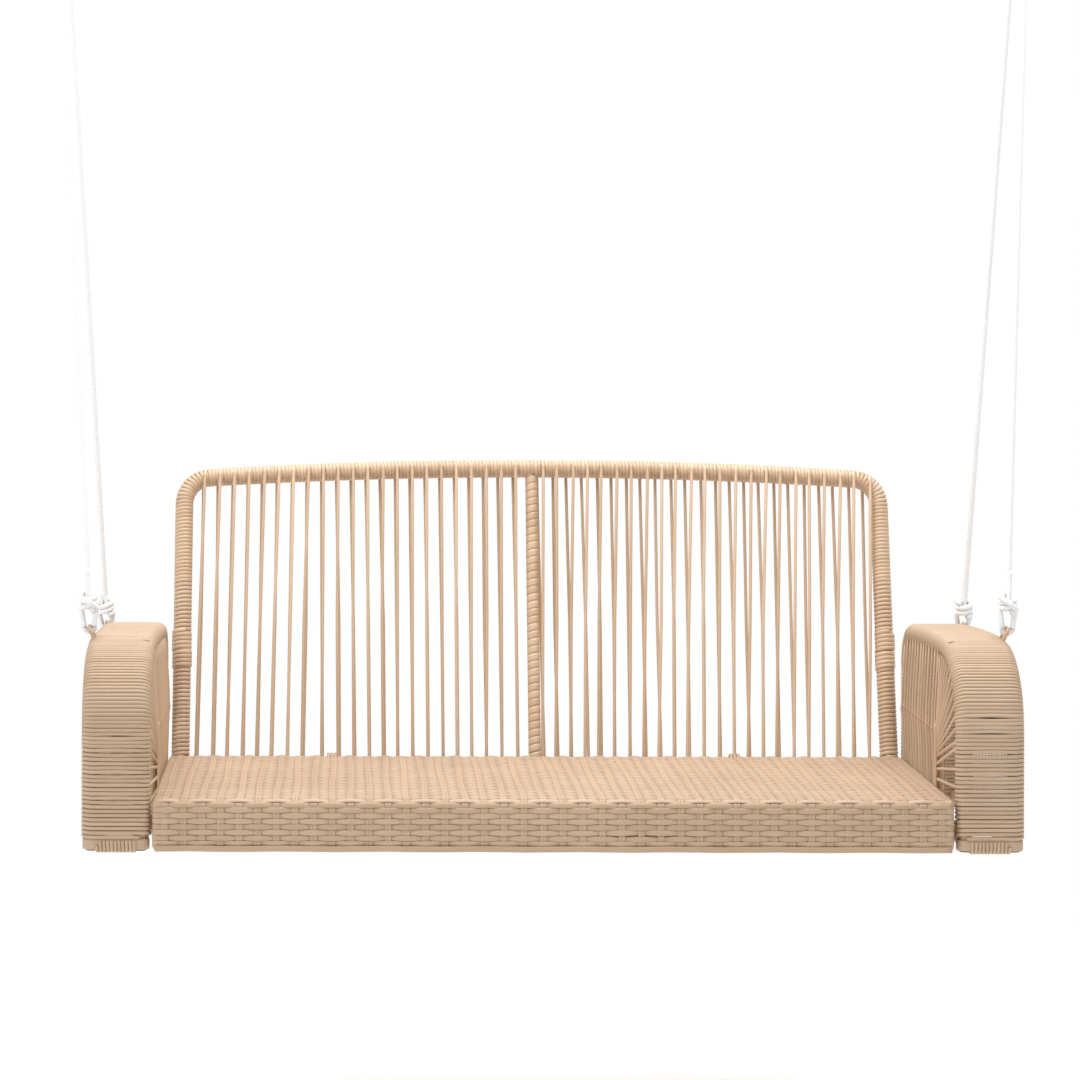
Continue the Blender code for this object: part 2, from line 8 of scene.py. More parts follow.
import bpy
import numpy as np
from bpy.props import FloatProperty, FloatVectorProperty, IntProperty, PointerProperty
from bpy.types import Operator, Panel, PropertyGroup
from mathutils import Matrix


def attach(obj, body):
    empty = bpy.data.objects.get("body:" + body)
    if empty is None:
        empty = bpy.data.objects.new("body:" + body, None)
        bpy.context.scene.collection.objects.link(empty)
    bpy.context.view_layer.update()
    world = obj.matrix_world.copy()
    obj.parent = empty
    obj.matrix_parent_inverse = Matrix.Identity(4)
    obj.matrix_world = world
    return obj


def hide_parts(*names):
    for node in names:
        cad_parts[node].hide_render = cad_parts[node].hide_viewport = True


bl_info = {
    "name": "Woven Porch Swing",
    "version": (1, 0, 0),
    "blender": (4, 5, 0),
    "location": "View3D > Sidebar > Porch Swing",
    "description": "Ropes, wound arms, woven seat and strung backrest of a two-seat porch swing",
    "category": "Object",
}

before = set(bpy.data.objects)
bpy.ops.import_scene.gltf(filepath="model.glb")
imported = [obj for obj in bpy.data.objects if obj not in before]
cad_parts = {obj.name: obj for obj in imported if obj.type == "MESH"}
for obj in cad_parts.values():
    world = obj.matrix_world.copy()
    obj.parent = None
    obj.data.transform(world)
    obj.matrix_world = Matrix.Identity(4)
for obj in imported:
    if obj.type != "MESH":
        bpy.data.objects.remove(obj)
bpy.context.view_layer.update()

# ------------------------------------------------------------ sizes of the frame
CEILING_H = 1.690
HOOK_H = 1.625
HOOK_D = 0.3165
HOOK_X = 0.705
HOOK_ROD_R = 0.005
RING_R = 0.027
RING_ROD_R = 0.004
GAP = 0.0003

ROPE_ENDS = {"front": (0.140, 0.034), "rear": (0.490, 0.028)}   # depth of the lug, knot above its crown
RING_KNOT_DROP = 0.040
EYE_STEP = 0.0095
RING_EYE_R = 0.0105

SEAT_HALF = 0.5465
SEAT_DEPTH = 0.485
SEAT_H = 0.072
EDGE_R = 0.0128
RAIL_R = 0.0095

ARM_IN = 0.549
ARM_W = 0.096
ARM_DEPTH = 0.520
ARM_TOP = 0.282
ARM_FALL = 0.0095
ARM_TURN_H = 0.150
ARM_TURN_D = 0.170
ARM_FULL = 2.4
ARM_REAR_R = 0.050
BAND_T = 0.030
MID = BAND_T / 2
TUBE_IN = ARM_IN + MID
TUBE_OUT = ARM_IN + ARM_W - MID
SEAM_D = 0.117
BASE_H = 0.0125
BRACE_X, BRACE_D, BRACE_H, BRACE_R = 0.5552, 0.170, 0.145, 0.0045
LUG_R = 0.0025
LUG_OUT = 0.031
LUG_TILT = math.radians(24)
REAR_TURN = 86
REAR_D = ARM_DEPTH - MID - ARM_REAR_R
REAR_H = ARM_TOP - MID - ARM_FALL - ARM_REAR_R * math.sin(math.radians(REAR_TURN))
CROWN_END = REAR_D + ARM_REAR_R * math.cos(math.radians(REAR_TURN))

BACK_X = 0.531
BACK_D = 0.500
BACK_BEND_H = 0.065
BACK_SLOPE = 0.30
BACK_R = 0.014
BACK_CORNER = 0.040
BACK_SIDE_H = 0.479
BACK_RISE = 0.0145
BACK_RAIL_H = 0.030
POST_R = 0.0095

SIDES = (("left", -1), ("right", 1))


def place(x, depth, height):
    """A point from its distance behind the seat front and above the underside."""
    x, y, z = np.broadcast_arrays(x, np.asarray(depth) - HOOK_D, np.asarray(height) - CEILING_H)
    return np.stack([x, y, z], -1).astype(float)


def unit(v):
    v = np.asarray(v, float)
    return v / np.maximum(np.linalg.norm(v, axis=-1, keepdims=True), 1e-12)


# ------------------------------------------------------------ settings
def length(name, about, default, low, high):
    return FloatProperty(name=name, description=about, default=default, min=low, max=high, unit="LENGTH", precision=5)


def count(name, about, default, low, high):
    return IntProperty(name=name, description=about, default=default, min=low, max=high)


def colour(name, about, default):
    return FloatVectorProperty(name=name, description=about, subtype="COLOR", default=default, min=0, max=1)


class PorchSwingArms(PropertyGroup):
    """Windings and side strands of the two arms."""
    pitch: length("Winding pitch", "Distance between turns on the upper part of an arm", 0.0055, 0.004, 0.012)
    open_pitch: length("Open winding pitch", "Distance between turns on the straight front leg", 0.0059, 0.004, 0.012)
    cord: length("Cord width", "Width of the cord wound round the arms", 0.0053, 0.003, 0.010)
    strand_pitch: length("Side strand pitch", "Distance between upright strands beside the seat", 0.0255, 0.008, 0.05)
    strand: length("Side strand width", "Width of an upright strand", 0.0046, 0.002, 0.008)
    fan: count("Fan strands", "Strands that fan out to the front curve of an arm", 12, 3, 20)


class PorchSwingSeat(PropertyGroup):
    """Plain weave of the seat."""
    columns: count("Warp pairs", "Pairs of flat strips that run front to back", 42, 10, 80)
    row_pitch: length("Row pitch", "Distance between the cross strips", 0.00765, 0.004, 0.02)
    strip: length("Warp strip width", "Width of one strip of a pair", 0.0046, 0.002, 0.010)
    lift: length("Weave lift", "How far a cross strip rises over a pair", 0.0011, 0.0002, 0.004)


class PorchSwingBack(PropertyGroup):
    """Wound hoop and strung panels of the backrest."""
    pitch: length("Hoop winding pitch", "Distance between turns round the hoop", 0.0056, 0.004, 0.012)
    post_pitch: length("Post winding pitch", "Distance between turns round the middle post", 0.0115, 0.004, 0.02)
    strand: length("Strand width", "Width of a strand of the backrest", 0.0050, 0.002, 0.008)
    left_pairs: count("Pairs, left half", "Strand pairs left of the middle post", 22, 4, 40)
    right_pairs: count("Pairs, right half", "Strand pairs right of the middle post", 23, 4, 40)


class PorchSwingRopes(PropertyGroup):
    """The four hanging ropes."""
    diameter: length("Rope diameter", "Thickness of the braided rope", 0.008, 0.004, 0.016)
    braid: length("Braid length", "Length of one full turn of a strand of the braid", 0.022, 0.005, 0.08)


class PorchSwingFinishes(PropertyGroup):
    """Colours of cord, strips, rope and metal."""
    cord: colour("Cord", "Colour of the wound cord", (0.385, 0.262, 0.165))
    cord_light: colour("Cord, faded", "Colour of the palest cord", (0.520, 0.383, 0.265))
    strand: colour("Strand", "Colour of the backrest's cord and strands", (0.490, 0.335, 0.213))
    strand_light: colour("Strand, faded", "Colour of the palest strand", (0.650, 0.480, 0.335))
    strip: colour("Strip", "Colour of the seat's flat strips", (0.372, 0.248, 0.156))
    strip_light: colour("Strip, faded", "Colour of the palest strip", (0.520, 0.372, 0.252))
    rope: colour("Rope", "Colour of the rope", (0.835, 0.838, 0.845))
    paint: colour("Frame paint", "Paint of the metal frame", (0.430, 0.290, 0.175))
    zinc: colour("Zinc", "Plated hooks, rings and bolts", (0.560, 0.570, 0.580))


class PorchSwingStage(PropertyGroup):
    """Floor, lights and camera."""
    floor_drop: length("Floor below the seat", "From the seat's underside down to the floor", 0.42, 0.1, 2.0)
    key: FloatProperty(name="Key light", description="Power of the overhead soft light", default=142.0, min=0,
                       unit="POWER")
    fill: FloatProperty(name="Fill light", description="Power of the light beside the camera", default=60.0, min=0,
                        unit="POWER")
    room: FloatProperty(name="Room light", description="Even light from all round", default=0.72, min=0)
    lens: FloatProperty(name="Lens", description="Focal length of the camera", default=122.3, min=20, max=300,
                        unit="CAMERA")


# ------------------------------------------------------------ cords and strips
def cord(points, out, thick, wide=None, tone=0.5, closed=False, square=1.0, sides=6):
    """One length of cord: its line, the way it faces, its half thickness and half width there."""
    points = np.asarray(points, float)
    if closed:
        along = unit(np.roll(points, -1, 0) - np.roll(points, 1, 0))
    else:
        along = unit(np.gradient(points, axis=0))
    out = np.broadcast_to(np.asarray(out, float), points.shape)
    out = unit(out - along * (out * along).sum(1, keepdims=True))
    side = np.cross(along, out)
    turn = 2 * math.pi * (np.arange(sides) + 0.5) / sides
    c, s = np.cos(turn), np.sin(turn)
    c, s = np.sign(c) * abs(c) ** square, np.sign(s) * abs(s) ** square
    half_out = np.broadcast_to(thick, len(points))[:, None, None]
    half_side = np.broadcast_to(thick if wide is None else wide, len(points))[:, None, None]
    skin = points[:, None] + out[:, None] * half_out * c[None, :, None] + side[:, None] * half_side * s[None, :, None]
    run = np.concatenate([[0.0], np.cumsum(np.linalg.norm(np.diff(points, axis=0), axis=1))])
    lay = np.stack([np.repeat(run, sides), np.tile(np.cos(turn), len(points)), np.tile(np.sin(turn), len(points))], 1)
    return {"skin": skin.reshape(-1, 3), "lay": lay, "tone": np.repeat(np.broadcast_to(tone, len(points)), sides),
            "count": len(points), "sides": sides, "closed": closed}


def lay_cords(name, cords, finish, body="swing", stands_for=()):
    """All the given lengths of cord as one piece, with their run and tone kept for the finish."""
    faces, smooth, first = [], [], 0
    for one in cords:
        n, m = one["count"], one["sides"]
        rows = np.arange(n if one["closed"] else n - 1)
        i, j = np.meshgrid(rows, np.arange(m), indexing="ij")
        ahead, beside = (i + 1) % n * m, (j + 1) % m
        quads = np.stack([i * m + j, i * m + beside, ahead + beside, ahead + j], -1).reshape(-1, 4) + first
        faces += quads.tolist()
        smooth += [True] * len(quads)
        if not one["closed"]:
            ends = np.arange(m)[::-1] + first, np.arange(m) + first + (n - 1) * m
            faces += [end.tolist() for end in ends]
            smooth += [False, False]
        first += n * m
    mesh = bpy.data.meshes.new(name)
    mesh.from_pydata(np.concatenate([one["skin"] for one in cords]).tolist(), [], faces)
    mesh.polygons.foreach_set("use_smooth", smooth)
    mesh.attributes.new("lay", "FLOAT_VECTOR", "POINT").data.foreach_set(
        "vector", np.concatenate([one["lay"] for one in cords]).ravel().astype(np.float32))
    mesh.attributes.new("tone", "FLOAT", "POINT").data.foreach_set(
        "value", np.concatenate([one["tone"] for one in cords]).astype(np.float32))
    mesh.materials.append(finish)
    obj = bpy.data.objects.new(name, mesh)
    bpy.context.scene.collection.objects.link(obj)
    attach(obj, body)
    if stands_for:
        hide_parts(*stands_for)
    return obj


def arc(cu, cv, ru, rv, start, stop, steps):
    a = np.radians(np.linspace(start, stop, steps + 1))
    return np.stack([cu + ru * np.cos(a), cv + rv * np.sin(a)], 1)


class Line:
    """A flat line that can be read at any distance along it, with its outward side."""

    def __init__(self, points, lift=0.0):
        points = np.asarray(points, float)
        keep = np.r_[True, np.linalg.norm(np.diff(points, axis=0), axis=1) > 1e-7]
        self.points = points[keep]
        t = unit(np.gradient(self.points, axis=0))
        self.out = np.stack([-t[:, 1], t[:, 0]], 1)
        raised = self.points + self.out * lift
        self.run = np.concatenate([[0.0], np.cumsum(np.linalg.norm(np.diff(raised, axis=0), axis=1))])
        self.length = self.run[-1]

    def at(self, run):
        point = np.stack([np.interp(run, self.run, self.points[:, k]) for k in (0, 1)], -1)
        out = unit(np.stack([np.interp(run, self.run, self.out[:, k]) for k in (0, 1)], -1))
        return point, out


# ------------------------------------------------------------ finishes
def new_group(name, inputs, outputs):
    tree = bpy.data.node_groups.new(name, "ShaderNodeTree")
    for label, kind, value in inputs:
        socket = tree.interface.new_socket(name=label, in_out="INPUT", socket_type=kind)
        socket.default_value = value
    for label, kind in outputs:
        tree.interface.new_socket(name=label, in_out="OUTPUT", socket_type=kind)
    return tree, tree.nodes.new("NodeGroupInput"), tree.nodes.new("NodeGroupOutput")


def math_node(tree, operation, a, b=None, clamp=False):
    node = tree.nodes.new("ShaderNodeMath")
    node.operation = operation
    node.use_clamp = clamp
    for socket, value in zip(node.inputs, (a, b)):
        if value is None:
            continue
        if hasattr(value, "links"):
            tree.links.new(value, socket)
        else:
            socket.default_value = value
    return node.outputs[0]


def times(tree, a, b, clamp=False):
    return math_node(tree, "MULTIPLY", a, b, clamp)


def plus(tree, a, b, clamp=False):
    return math_node(tree, "ADD", a, b, clamp)


def minus(tree, a, b, clamp=False):
    return math_node(tree, "SUBTRACT", a, b, clamp)


def mix_colour(tree, factor, a, b, blend="MIX"):
    node = tree.nodes.new("ShaderNodeMix")
    node.data_type = "RGBA"
    node.blend_type = blend
    for socket, value in ((node.inputs[0], factor), (node.inputs[6], a), (node.inputs[7], b)):
        if hasattr(value, "links"):
            tree.links.new(value, socket)
        else:
            socket.default_value = value
    return node.outputs[2]


def noise(tree, vector, scale, detail=3.0, rough=0.55):
    node = tree.nodes.new("ShaderNodeTexNoise")
    node.inputs["Scale"].default_value = scale
    node.inputs["Detail"].default_value = detail
    node.inputs["Roughness"].default_value = rough
    tree.links.new(vector, node.inputs["Vector"])
    return node.outputs[0]


def attribute(tree, name, output):
    node = tree.nodes.new("ShaderNodeAttribute")
    node.attribute_name = name
    return node.outputs[output]


def fibre_group():
    """Moulded fibre: long fine streaks down a cord, each cord its own tone, and broad fading."""
    found = bpy.data.node_groups.get("Moulded Fibre")
    if found:
        return found
    tree, source, sink = new_group("Moulded Fibre", [
        ("Body", "NodeSocketColor", (0.5, 0.35, 0.2, 1)), ("Faded", "NodeSocketColor", (0.7, 0.5, 0.35, 1)),
        ("Streak", "NodeSocketFloat", 0.5), ("Tone", "NodeSocketFloat", 0.5), ("Gloss", "NodeSocketFloat", 0.5)],
        [("Color", "NodeSocketColor"), ("Roughness", "NodeSocketFloat"), ("Height", "NodeSocketFloat")])
    tone = attribute(tree, "tone", "Fac")
    stretch = tree.nodes.new("ShaderNodeVectorMath")
    stretch.operation = "MULTIPLY_ADD"
    tree.links.new(attribute(tree, "lay", "Vector"), stretch.inputs[0])
    stretch.inputs[1].default_value = (22.0, 2.6, 2.6)
    shift = tree.nodes.new("ShaderNodeCombineXYZ")
    tree.links.new(times(tree, tone, 173.0), shift.inputs[0])
    tree.links.new(shift.outputs[0], stretch.inputs[2])
    streak = noise(tree, stretch.outputs[0], 2.2, 4.0, 0.62)
    where = tree.nodes.new("ShaderNodeTexCoord").outputs["Object"]
    broad = noise(tree, where, 7.0, 2.0)
    speck = noise(tree, where, 520.0, 2.0)
    level = times(tree, times(tree, minus(tree, streak, 0.5), source.outputs["Streak"]), 1.7)
    level = plus(tree, level, times(tree, minus(tree, tone, 0.5), source.outputs["Tone"]))
    level = plus(tree, level, times(tree, minus(tree, broad, 0.5), 0.7))
    level = plus(tree, level, 0.45, clamp=True)
    colour = mix_colour(tree, level, source.outputs["Body"], source.outputs["Faded"])
    dust = times(tree, minus(tree, speck, 0.35, clamp=True), 0.22)
    colour = mix_colour(tree, dust, colour, (0.30, 0.20, 0.12, 1.0))
    tree.links.new(colour, sink.inputs["Color"])
    rough = plus(tree, source.outputs["Gloss"], times(tree, streak, 0.25), clamp=True)
    tree.links.new(rough, sink.inputs["Roughness"])
    height = plus(tree, times(tree, streak, 0.8), times(tree, speck, 0.2))
    tree.links.new(height, sink.inputs["Height"])
    return tree


def wear_group():
    """Handling wear of a hard finish: clouded colour, fine scratches and an uneven sheen."""
    found = bpy.data.node_groups.get("Handling Wear")
    if found:
        return found
    tree, source, sink = new_group("Handling Wear", [
        ("Body", "NodeSocketColor", (0.5, 0.5, 0.5, 1)), ("Worn", "NodeSocketColor", (0.6, 0.6, 0.6, 1)),
        ("Scale", "NodeSocketFloat", 40.0), ("Sheen", "NodeSocketFloat", 0.35)],
        [("Color", "NodeSocketColor"), ("Roughness", "NodeSocketFloat"), ("Height", "NodeSocketFloat")])
    where = tree.nodes.new("ShaderNodeTexCoord").outputs["Object"]
    cloud = tree.nodes.new("ShaderNodeTexNoise")
    cloud.inputs["Detail"].default_value = 4.0
    tree.links.new(where, cloud.inputs["Vector"])
    tree.links.new(source.outputs["Scale"], cloud.inputs["Scale"])
    crystal = tree.nodes.new("ShaderNodeTexVoronoi")
    tree.links.new(where, crystal.inputs["Vector"])
    tree.links.new(times(tree, source.outputs["Scale"], 5.0), crystal.inputs["Scale"])
    level = plus(tree, times(tree, cloud.outputs[0], 0.75), times(tree, crystal.outputs["Distance"], 0.35), clamp=True)
    tree.links.new(mix_colour(tree, level, source.outputs["Body"], source.outputs["Worn"]), sink.inputs["Color"])
    rough = plus(tree, source.outputs["Sheen"], times(tree, cloud.outputs[0], 0.22), clamp=True)
    tree.links.new(rough, sink.inputs["Roughness"])
    tree.links.new(level, sink.inputs["Height"])
    return tree


def new_material(name):
    mat = bpy.data.materials.new(name)
    mat.use_nodes = True
    return mat, mat.node_tree, mat.node_tree.nodes["Principled BSDF"]


def add_bump(tree, height, strength, reach):
    relief = tree.nodes.new("ShaderNodeBump")
    relief.inputs["Strength"].default_value = strength
    relief.inputs["Distance"].default_value = reach
    tree.links.new(height, relief.inputs["Height"])
    tree.links.new(relief.outputs[0], tree.nodes["Principled BSDF"].inputs["Normal"])


def finish_with(name, group, values, bump=0.2, reach=0.0004, metal=0.0, coat=0.0):
    """A material whose colour, roughness and bump come from one of the groups."""
    mat = bpy.data.materials.get(name)
    if mat:
        return mat
    mat, tree, shader = new_material(name)
    shader.inputs["Metallic"].default_value = metal
    shader.inputs["Coat Weight"].default_value = coat
    node = tree.nodes.new("ShaderNodeGroup")
    node.node_tree = group
    for label, value in values.items():
        node.inputs[label].default_value = (*value, 1.0) if isinstance(value, tuple) else value
    tree.links.new(node.outputs["Color"], shader.inputs["Base Color"])
    tree.links.new(node.outputs["Roughness"], shader.inputs["Roughness"])
    add_bump(tree, node.outputs["Height"], bump, reach)
    return mat


def fibre(name, tint, streak, tone, gloss, bump):
    """Moulded fibre in one of the finish colours and its faded tone."""
    tints = bpy.context.scene.swing_finishes
    return finish_with(name, fibre_group(), {"Body": tuple(getattr(tints, tint)), "Streak": streak, "Tone": tone,
                                             "Faded": tuple(getattr(tints, tint + "_light")), "Gloss": gloss}, bump)


def wound_cord():
    return fibre("wound_cord", "cord", 0.55, 0.55, 0.36, 0.35)


def seat_strip():
    return fibre("seat_strip", "strip", 0.75, 0.60, 0.38, 0.45)


def back_strand():
    return fibre("back_strand", "strand", 0.50, 0.70, 0.34, 0.35)


def hard(name, tint, worn, scale, sheen, **relief):
    """Paint, plating or plastic with handling wear."""
    return finish_with(name, wear_group(), {"Body": tuple(tint), "Worn": tuple(min(1, c * worn) for c in tint),
                                            "Scale": scale, "Sheen": sheen}, **relief)


def painted_frame():
    return hard("painted_frame", bpy.context.scene.swing_finishes.paint, 1.3, 45.0, 0.30, bump=0.12, coat=0.15)


def zinc_plate():
    return hard("zinc_plate", bpy.context.scene.swing_finishes.zinc, 1.35, 90.0, 0.24, bump=0.10, metal=1.0)


def black_plug():
    return hard("black_plug", (0.018, 0.018, 0.019), 2.15, 130.0, 0.38, bump=0.25)


def braided_rope():
    """White rope: two sets of strands that cross round it, painted darker in the grooves between them as painted
    shade, with soft fuzz.
    """
    mat = bpy.data.materials.get("braided_rope")
    if mat:
        return mat
    ropes, tint = bpy.context.scene.swing_ropes, bpy.context.scene.swing_finishes.rope
    mat, tree, shader = new_material("braided_rope")
    split = tree.nodes.new("ShaderNodeSeparateXYZ")
    tree.links.new(attribute(tree, "lay", "Vector"), split.inputs[0])
    round_it = math_node(tree, "ARCTAN2", split.outputs[2], split.outputs[1])
    run = times(tree, split.outputs[0], 2 * math.pi / ropes.braid * 2)
    waves = []
    for way in (2.0, -2.0):
        angle = plus(tree, run, times(tree, round_it, way))
        waves.append(math_node(tree, "ABSOLUTE", math_node(tree, "SINE", angle)))
    strands = math_node(tree, "MAXIMUM", *waves)
    where = tree.nodes.new("ShaderNodeTexCoord").outputs["Object"]
    fuzz = noise(tree, where, 900.0, 2.0)
    soil = noise(tree, where, 16.0, 3.0)
    # painted shade: the colour darkens in the grooves between the strands, where the bump height is low
    level = minus(tree, 1.0, times(tree, minus(tree, 1.0, strands), 1.3), clamp=True)
    colour = mix_colour(tree, level, tuple(c * 0.86 for c in tint) + (1.0,), (*tint, 1.0))
    colour = mix_colour(tree, times(tree, soil, 0.10), colour, (0.62, 0.60, 0.56, 1.0))
    tree.links.new(colour, shader.inputs["Base Color"])
    tree.links.new(plus(tree, 0.62, times(tree, fuzz, 0.3)), shader.inputs["Roughness"])
    shader.inputs["Sheen Weight"].default_value = 0.25
    add_bump(tree, plus(tree, strands, times(tree, fuzz, 0.25)), 0.45, 0.0007)
    return mat


# ------------------------------------------------------------ ropes
def arch_height(depth):
    """Height of an arch tube's middle at a depth."""
    if depth >= CROWN_END:
        return REAR_H + math.sqrt(max(0.0, ARM_REAR_R ** 2 - (depth - REAR_D) ** 2))
    if depth >= ARM_TURN_D:
        return ARM_TOP - MID - ARM_FALL * ((depth - ARM_TURN_D) / (CROWN_END - ARM_TURN_D)) ** 2
    k = min(1.0, (ARM_TURN_D - depth) / (ARM_TURN_D - MID))
    return ARM_TURN_H + (ARM_TOP - ARM_TURN_H - MID) * (1 - k ** ARM_FULL) ** (1 / ARM_FULL)


def lug_frame(sign, depth):
    """Middle of the tube, the way its lug stands out, and the tube's direction."""
    slope = (arch_height(depth + 0.001) - arch_height(depth - 0.001)) / 0.002
    along = unit((0, 1, slope))
    up = np.array((0, -along[2], along[1]))
    out = unit(up * math.cos(LUG_TILT) + np.array((sign, 0, 0)) * math.sin(LUG_TILT))
    return place(sign * TUBE_OUT, depth, arch_height(depth)), out, along


def bend(points, steps=6):
    """A smooth line through a few points."""
    p = np.asarray(points, float)
    p = np.vstack([2 * p[0] - p[1], p, 2 * p[-1] - p[-2]])
    t = np.linspace(0, 1, steps, endpoint=False)[:, None]
    out = []
    for a, b, c, d in zip(p[:-3], p[1:-2], p[2:-1], p[3:]):
        second, third = 2 * a - 5 * b + 4 * c - d, 3 * b - a - 3 * c + d
        out.append(0.5 * (2 * b + (c - a) * t + second * t ** 2 + third * t ** 3))
    return np.vstack(out + [p[-2][None]])


def tie(name, middle, lift, lateral, facing, loop, away, flare, stands_for):
    """A rope's end: an eye, wraps drawn tight, a strand that locks them, and the spare end along the rope."""
    r = bpy.context.scene.swing_ropes.diameter / 2
    a = np.linspace(-0.4 * math.pi, 5.3 * math.pi, 70)
    rise = np.linspace(-0.0108, 0.0108, len(a)) + 0.0020 * np.sin(a + 0.6)
    coil = (lateral * (0.0098 * np.cos(a))[:, None] + np.cross(lift, lateral) * (0.0084 * np.sin(a))[:, None]
            + lift * rise[:, None])
    lock = [middle + lift * v + lateral * u + facing * w for v, u, w in (
        (-0.0140, 0.005, 0), (-0.008, 0.0105, 0.006), (0, 0, 0.0135), (0.008, -0.0105, 0.006), (0.0140, -0.005, 0))]
    spare = bend([middle + facing * w + away * v for w, v in
                  ((0.007, 0), (0.0088, 0.016), (0.0086, 0.032), (flare, 0.045))])
    size = np.full(len(spare), r * 0.9)
    size[-3:] = (r * 0.98, r * 0.95, r * 0.55)
    lengths = [cord(bend(loop, 4), lift, r * 0.95, sides=10), cord(middle + coil, coil, r * 0.95, sides=10),
               cord(bend(lock), lift, r * 0.95, sides=10), cord(spare, lateral, size, sides=10)]
    return lay_cords(name, lengths, braided_rope(), stands_for=[stands_for])


class PORCHSWING_OT_hang_ropes(Operator):
    """Hang the four ropes, each with an eye round its ring and an eye through its lug"""
    bl_idname = "porch_swing.hang_ropes"
    bl_label = "Hang Ropes"

    def execute(self, context):
        r = context.scene.swing_ropes.diameter / 2
        across = np.array((1.0, 0, 0))
        for side, sign in SIDES:
            for spot, (depth, rise) in ROPE_ENDS.items():
                which = "%s_%s" % (spot, side)
                way = 1 if spot == "rear" else -1
                ring = place(sign * HOOK_X, HOOK_D, HOOK_H + HOOK_ROD_R + GAP - (RING_R - RING_ROD_R))
                grip = ring + (0, way * EYE_STEP, -math.sqrt(RING_R ** 2 - EYE_STEP ** 2))
                middle, out, along = lug_frame(sign, depth)
                crown = middle + out * LUG_OUT
                foot = crown + unit(grip - crown) * rise
                lift = unit(grip - foot)
                lateral = unit(across - lift * lift[0])
                aside = np.cross(lift, lateral) * way
                # eye round the ring
                centre = grip + lift * (RING_ROD_R + GAP + r - RING_EYE_R)
                high = grip - lift * RING_KNOT_DROP
                a = np.radians(np.linspace(-20, 200, 13))[:, None]
                turn = centre + RING_EYE_R * (lateral * np.cos(a) + lift * np.sin(a))
                loop = np.vstack([high + lateral * 0.003, turn, high - lateral * 0.003])
                top = tie("ring_knot_" + which, high, lift, lateral, aside, loop, -lift, 0.0092,
                          "ring_eye_" + which)
                # eye through the lug
                up = unit(lift - along * lift.dot(along))
                wide = unit(np.cross(along, up))
                a = np.radians(np.linspace(15, -195, 13))[:, None]
                turn = crown + (LUG_R + GAP + r + 0.0006) * (wide * np.cos(a) + up * np.sin(a))
                legs = foot - lift * 0.006
                loop = np.vstack([legs + wide * 0.0112, turn, legs - wide * 0.0112])
                low = tie("lug_knot_" + which, foot, lift, lateral, aside, loop, lift, 0.0094,
                          "arm_eye_" + which)
                # the standing part, from knot to knot
                start, stop = grip - lift * 0.029, foot - lift * 0.010
                line, fine = (start + (stop - start) * np.linspace(0, 1, n)[:, None] for n in (41, 241))
                rope = lay_cords("hanging_rope_" + which, [cord(fine, lateral, r, sides=12)], braided_rope(),
                                 stands_for=["rope_" + which])
        return {"FINISHED"}


# ------------------------------------------------------------ arms
def arch_line(low=0.0166, lift=MID):
    """Middle of an arm's arch, from the foot of the front leg to the foot of the rear leg."""
    a = np.linspace(0, math.pi / 2, 121)[1:]
    front = ARM_TURN_D - (ARM_TURN_D - MID) * np.abs(np.cos(a)) ** (2 / ARM_FULL)
    over = np.r_[front, np.linspace(ARM_TURN_D, CROWN_END, 80)]
    points = [np.stack([np.full(60, MID), np.linspace(low, ARM_TURN_H, 60)], 1),
              np.stack([over, [arch_height(d) for d in over]], 1),
              arc(REAR_D, REAR_H, ARM_REAR_R, ARM_REAR_R, REAR_TURN, 0, 60),
              np.stack([np.full(60, ARM_DEPTH - MID), np.linspace(REAR_H, low, 60)], 1)]
    return Line(np.vstack(points), lift)


